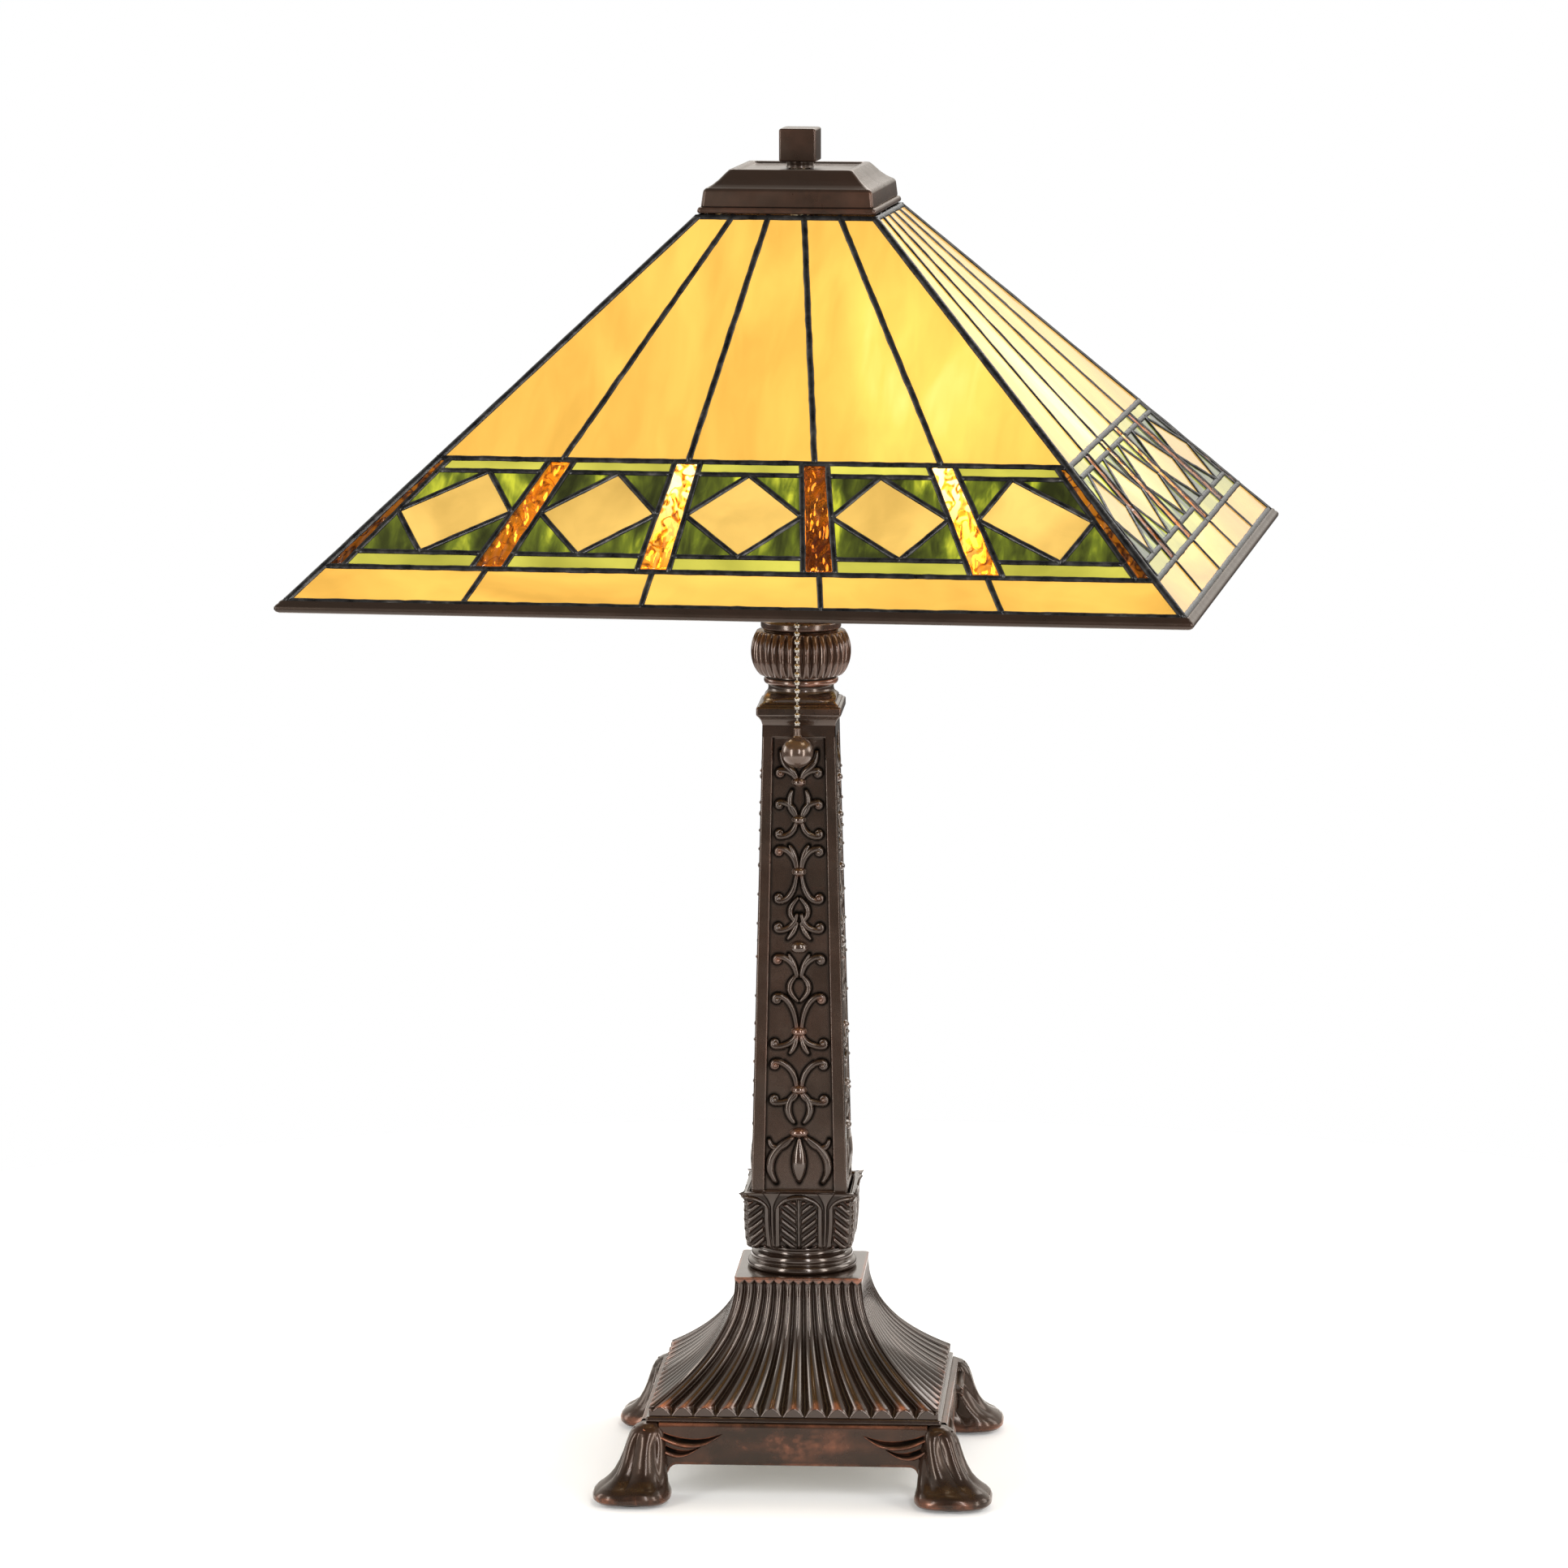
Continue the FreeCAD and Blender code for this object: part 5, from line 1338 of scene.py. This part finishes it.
def bulbs():
    """Frosted lamp bulbs with a rolled thread, along each arm of the cluster."""
    globe = [(12.6, 52.0), (12.9, 54.0), (13.0, 57.0), (13.4, 60.5), (14.6, 64.0), (16.9, 67.8),
             (19.9, 71.4)] + arc(BULB_RADIUS, BULB_REACH, -44, 90, 25)[1:-1]
    globe.append((0.05, BULB_REACH + BULB_RADIUS))
    shell = [(0.05, 27.4), (4.6, 27.6), (4.9, 28.6), (7.0, 29.6), (11.2, 31.4), (12.4, 32.6)]
    shell += [(12.5, 33.0 + 17.0 * k / 50) for k in range(51)]
    shell += [(12.7, 50.6), (12.9, 52.0), (0.05, 52.0)]

    def thread(angle, radius, height):
        if height < 33 or height > 50 or radius < 11:
            return radius
        return radius + 0.45 * math.sin(2 * math.pi * height / THREAD_PITCH - angle)

    for name in BULBS:
        hub, axis = bulb_line(name)
        place = Matrix.Translation(hub) @ axis.to_track_quat("Z", "Y").to_matrix().to_4x4()
        piece(f"frosted_bulb_{name}", placed(lathe(globe, 56), place), "lit_frosted_bulb",
              f"bulb_{name}", f"bulb_glass_{name}")
        piece(f"bulb_thread_{name}", placed(lathe(shell, 48, thread), place), "bulb_aluminium",
              f"bulb_{name}", f"bulb_base_{name}")


def threaded_rod(name, node):
    """A rod of the base with a fine thread along its whole length."""
    bottom, top = heights(node)
    pitch, core, depth = 1.4, 4.6, 0.2
    rows = int((top - bottom) / (pitch / 4))
    outline = [(core, bottom + (top - bottom) * k / rows) for k in range(rows + 1)]

    def thread(angle, radius, z):
        wave = math.sin(2 * math.pi * z / pitch - angle)
        return radius + depth * wave if radius == core else radius

    rod = lathe([(0.05, bottom)] + outline + [(0.05, top)], 20, thread)
    piece(name, rod, "zinc_plated_steel", "base", node)


# ================================================================ studio

FLOOR_DROP = -0.0002     # the floor is a little under the pads' faces, so they do not flicker
FLOOR_RADIUS = 0.85
WARM_LIGHT, COOL_LIGHT = (1.0, 0.99, 0.96), (0.97, 0.98, 1.0)

# soft boxes: name, place, what it looks at, width, height, watts, colour
SOFTBOXES = [
    ("key_right", (2.6, 0.7, 1.3), (0, 0, 0.35), 1.3, 2.0, 30, WARM_LIGHT),
    ("fill_left", (-2.6, 0.7, 1.1), (0, 0, 0.30), 1.0, 1.8, 22, WARM_LIGHT),
    ("back", (0.3, 2.6, 2.2), (0, 0, 0.35), 2.2, 1.4, 24, (1, 1, 1)),
    ("front_left", (-1.7, -2.0, 0.6), (0, 0, 0.3), 0.45, 2.6, 46, (1.0, 0.98, 0.95)),
    ("front_right", (2.0, -1.6, 0.6), (0, 0, 0.3), 0.45, 2.6, 36, (1.0, 0.97, 0.93)),
    ("front_top", (0.75, -2.3, 1.35), (0, 0, 0.20), 0.24, 2.4, 36, COOL_LIGHT),
]


def staged(name, data):
    made = bpy.data.objects.new(name, data)
    bpy.context.scene.collection.objects.link(made)
    return made


def lay_floor():
    """Pale floor; away from the lamp it glows a little, like a light table."""
    mesh = bpy.data.meshes.new("floor")
    rim = [(FLOOR_RADIUS * math.cos(angle), FLOOR_RADIUS * math.sin(angle), FLOOR_DROP)
           for angle in circle(128)]
    mesh.from_pydata(rim, [], [tuple(range(len(rim)))])
    tree = material("pale_floor")
    apart = tree.add("VectorMath", {0: tree.place()}, operation="LENGTH").outputs["Value"]
    tree.surface(Roughness=0.9, Specular_IOR_Level=0.1, Base_Color=(0.88, 0.88, 0.88),
                 Emission_Color=(1, 1, 1),
                 Emission_Strength=tree.spread(apart, 0.25, 0.75, 0.14, 0.70))
    mesh.materials.append(MATERIALS["pale_floor"])
    floor = staged("floor", mesh)


def light_world(world):
    """White behind the lamp; in reflections bright at the sides and behind, dim in front and
    dark straight up."""
    tree = Tree(world)
    way = tree.add("SeparateXYZ", {"Vector": tree.place("Generated")}).outputs
    aside = tree.math("MULTIPLY", tree.math("ABSOLUTE", way["X"]), 0.92)
    open_way = tree.math("MULTIPLY", tree.math("MAXIMUM", aside, way["Y"]),
                         tree.spread(way["Z"], -0.06, 0.20, 0.14, 1.0))
    front = tree.math("MULTIPLY_ADD", way["Z"], -0.20, 0.11)
    shade = tree.ramp(tree.math("MAXIMUM", open_way, front),
                      (0.0, (0.06, 0.06, 0.06)), (0.30, (0.24, 0.23, 0.22)),
                      (0.62, (0.85, 0.84, 0.79)), (1.0, (1.0, 0.99, 0.95)))
    seen = tree.add("LightPath").outputs["Is Camera Ray"]
    background = tree.add("Background", {"Color": tree.mix(seen, shade, (1.0, 1.0, 1.0))})
    tree.add("OutputWorld", {"Surface": background.outputs["Background"]})


def studio():
    scene = bpy.context.scene
    scene.view_settings.view_transform = "Standard"
    scene.view_settings.look = "None"

    # a long lens a little above the lamp, looking slightly down
    scene.camera = staged("camera", bpy.data.cameras.new("camera"))
    scene.camera.data.sensor_width = 36
    scene.camera.data.lens = 167.05
    scene.camera.location = (0.2254, -3.5453, 0.9098)
    scene.camera.rotation_euler = Euler([math.radians(a) for a in (80.969, 0.129, 3.755)])

    lay_floor()
    for name, place, target, width, height, power, colour in SOFTBOXES:
        data = bpy.data.lights.new(name, "AREA")
        data.shape = "RECTANGLE"
        data.size, data.size_y = width, height
        data.energy = power
        data.color = colour
        lamp = staged(name, data)
        lamp.location = place
        aim = Vector(target) - Vector(place)
        lamp.rotation_euler = aim.to_track_quat("-Z", "Y").to_euler()
    scene.world = bpy.data.worlds.new("studio")
    light_world(scene.world)


# ================================================================ assembly

# materials of the nodes that keep their CAD meshes
DRESS = {
    "black_felt": "felt_pads",
    "black_cast_iron": "ballast_weight",
    "bushing_plastic": "cord_bushing",
    "zinc_plated_steel": "base_plate pipe_washer pipe_nut riser_locknut riser_nut",
    "dark_plated_brass": "cluster_body chain_guide socket_shell_left socket_shell_right"
                         " shade_spider",
    "fibre_liner": "socket_liner_left socket_liner_right",
    "cream_glass": "diamonds",
    "lime_glass": "lime_strips",
}
for side_name in SIDES:
    for look, panes in (("honey", "field"), ("border", "border"), ("green", "green")):
        DRESS[f"{look}_glass_{side_name}"] = f"{panes}_glass_{side_name}"


def dress_nodes():
    for looks, nodes in DRESS.items():
        for node in nodes.split():
            data = frame["nodes"][node].data
            data.materials.clear()
            data.materials.append(MATERIALS[looks])


make_materials()
dress_nodes()
studio()
fluted_dome()
plinth()
stepped_ring()
leaf_collar()
column_shaft()
column_relief()
column_capital()
neck()
gadrooned_knop()
knop_cup()
pull_chain()
solder_lines()
hip_beads()
rim_channel()
amber_bars()
vase_cap()
finial()
bulbs()
threaded_rod("lamp_pipe_thread", "lamp_pipe")
threaded_rod("riser_rod_thread", "riser_rod")
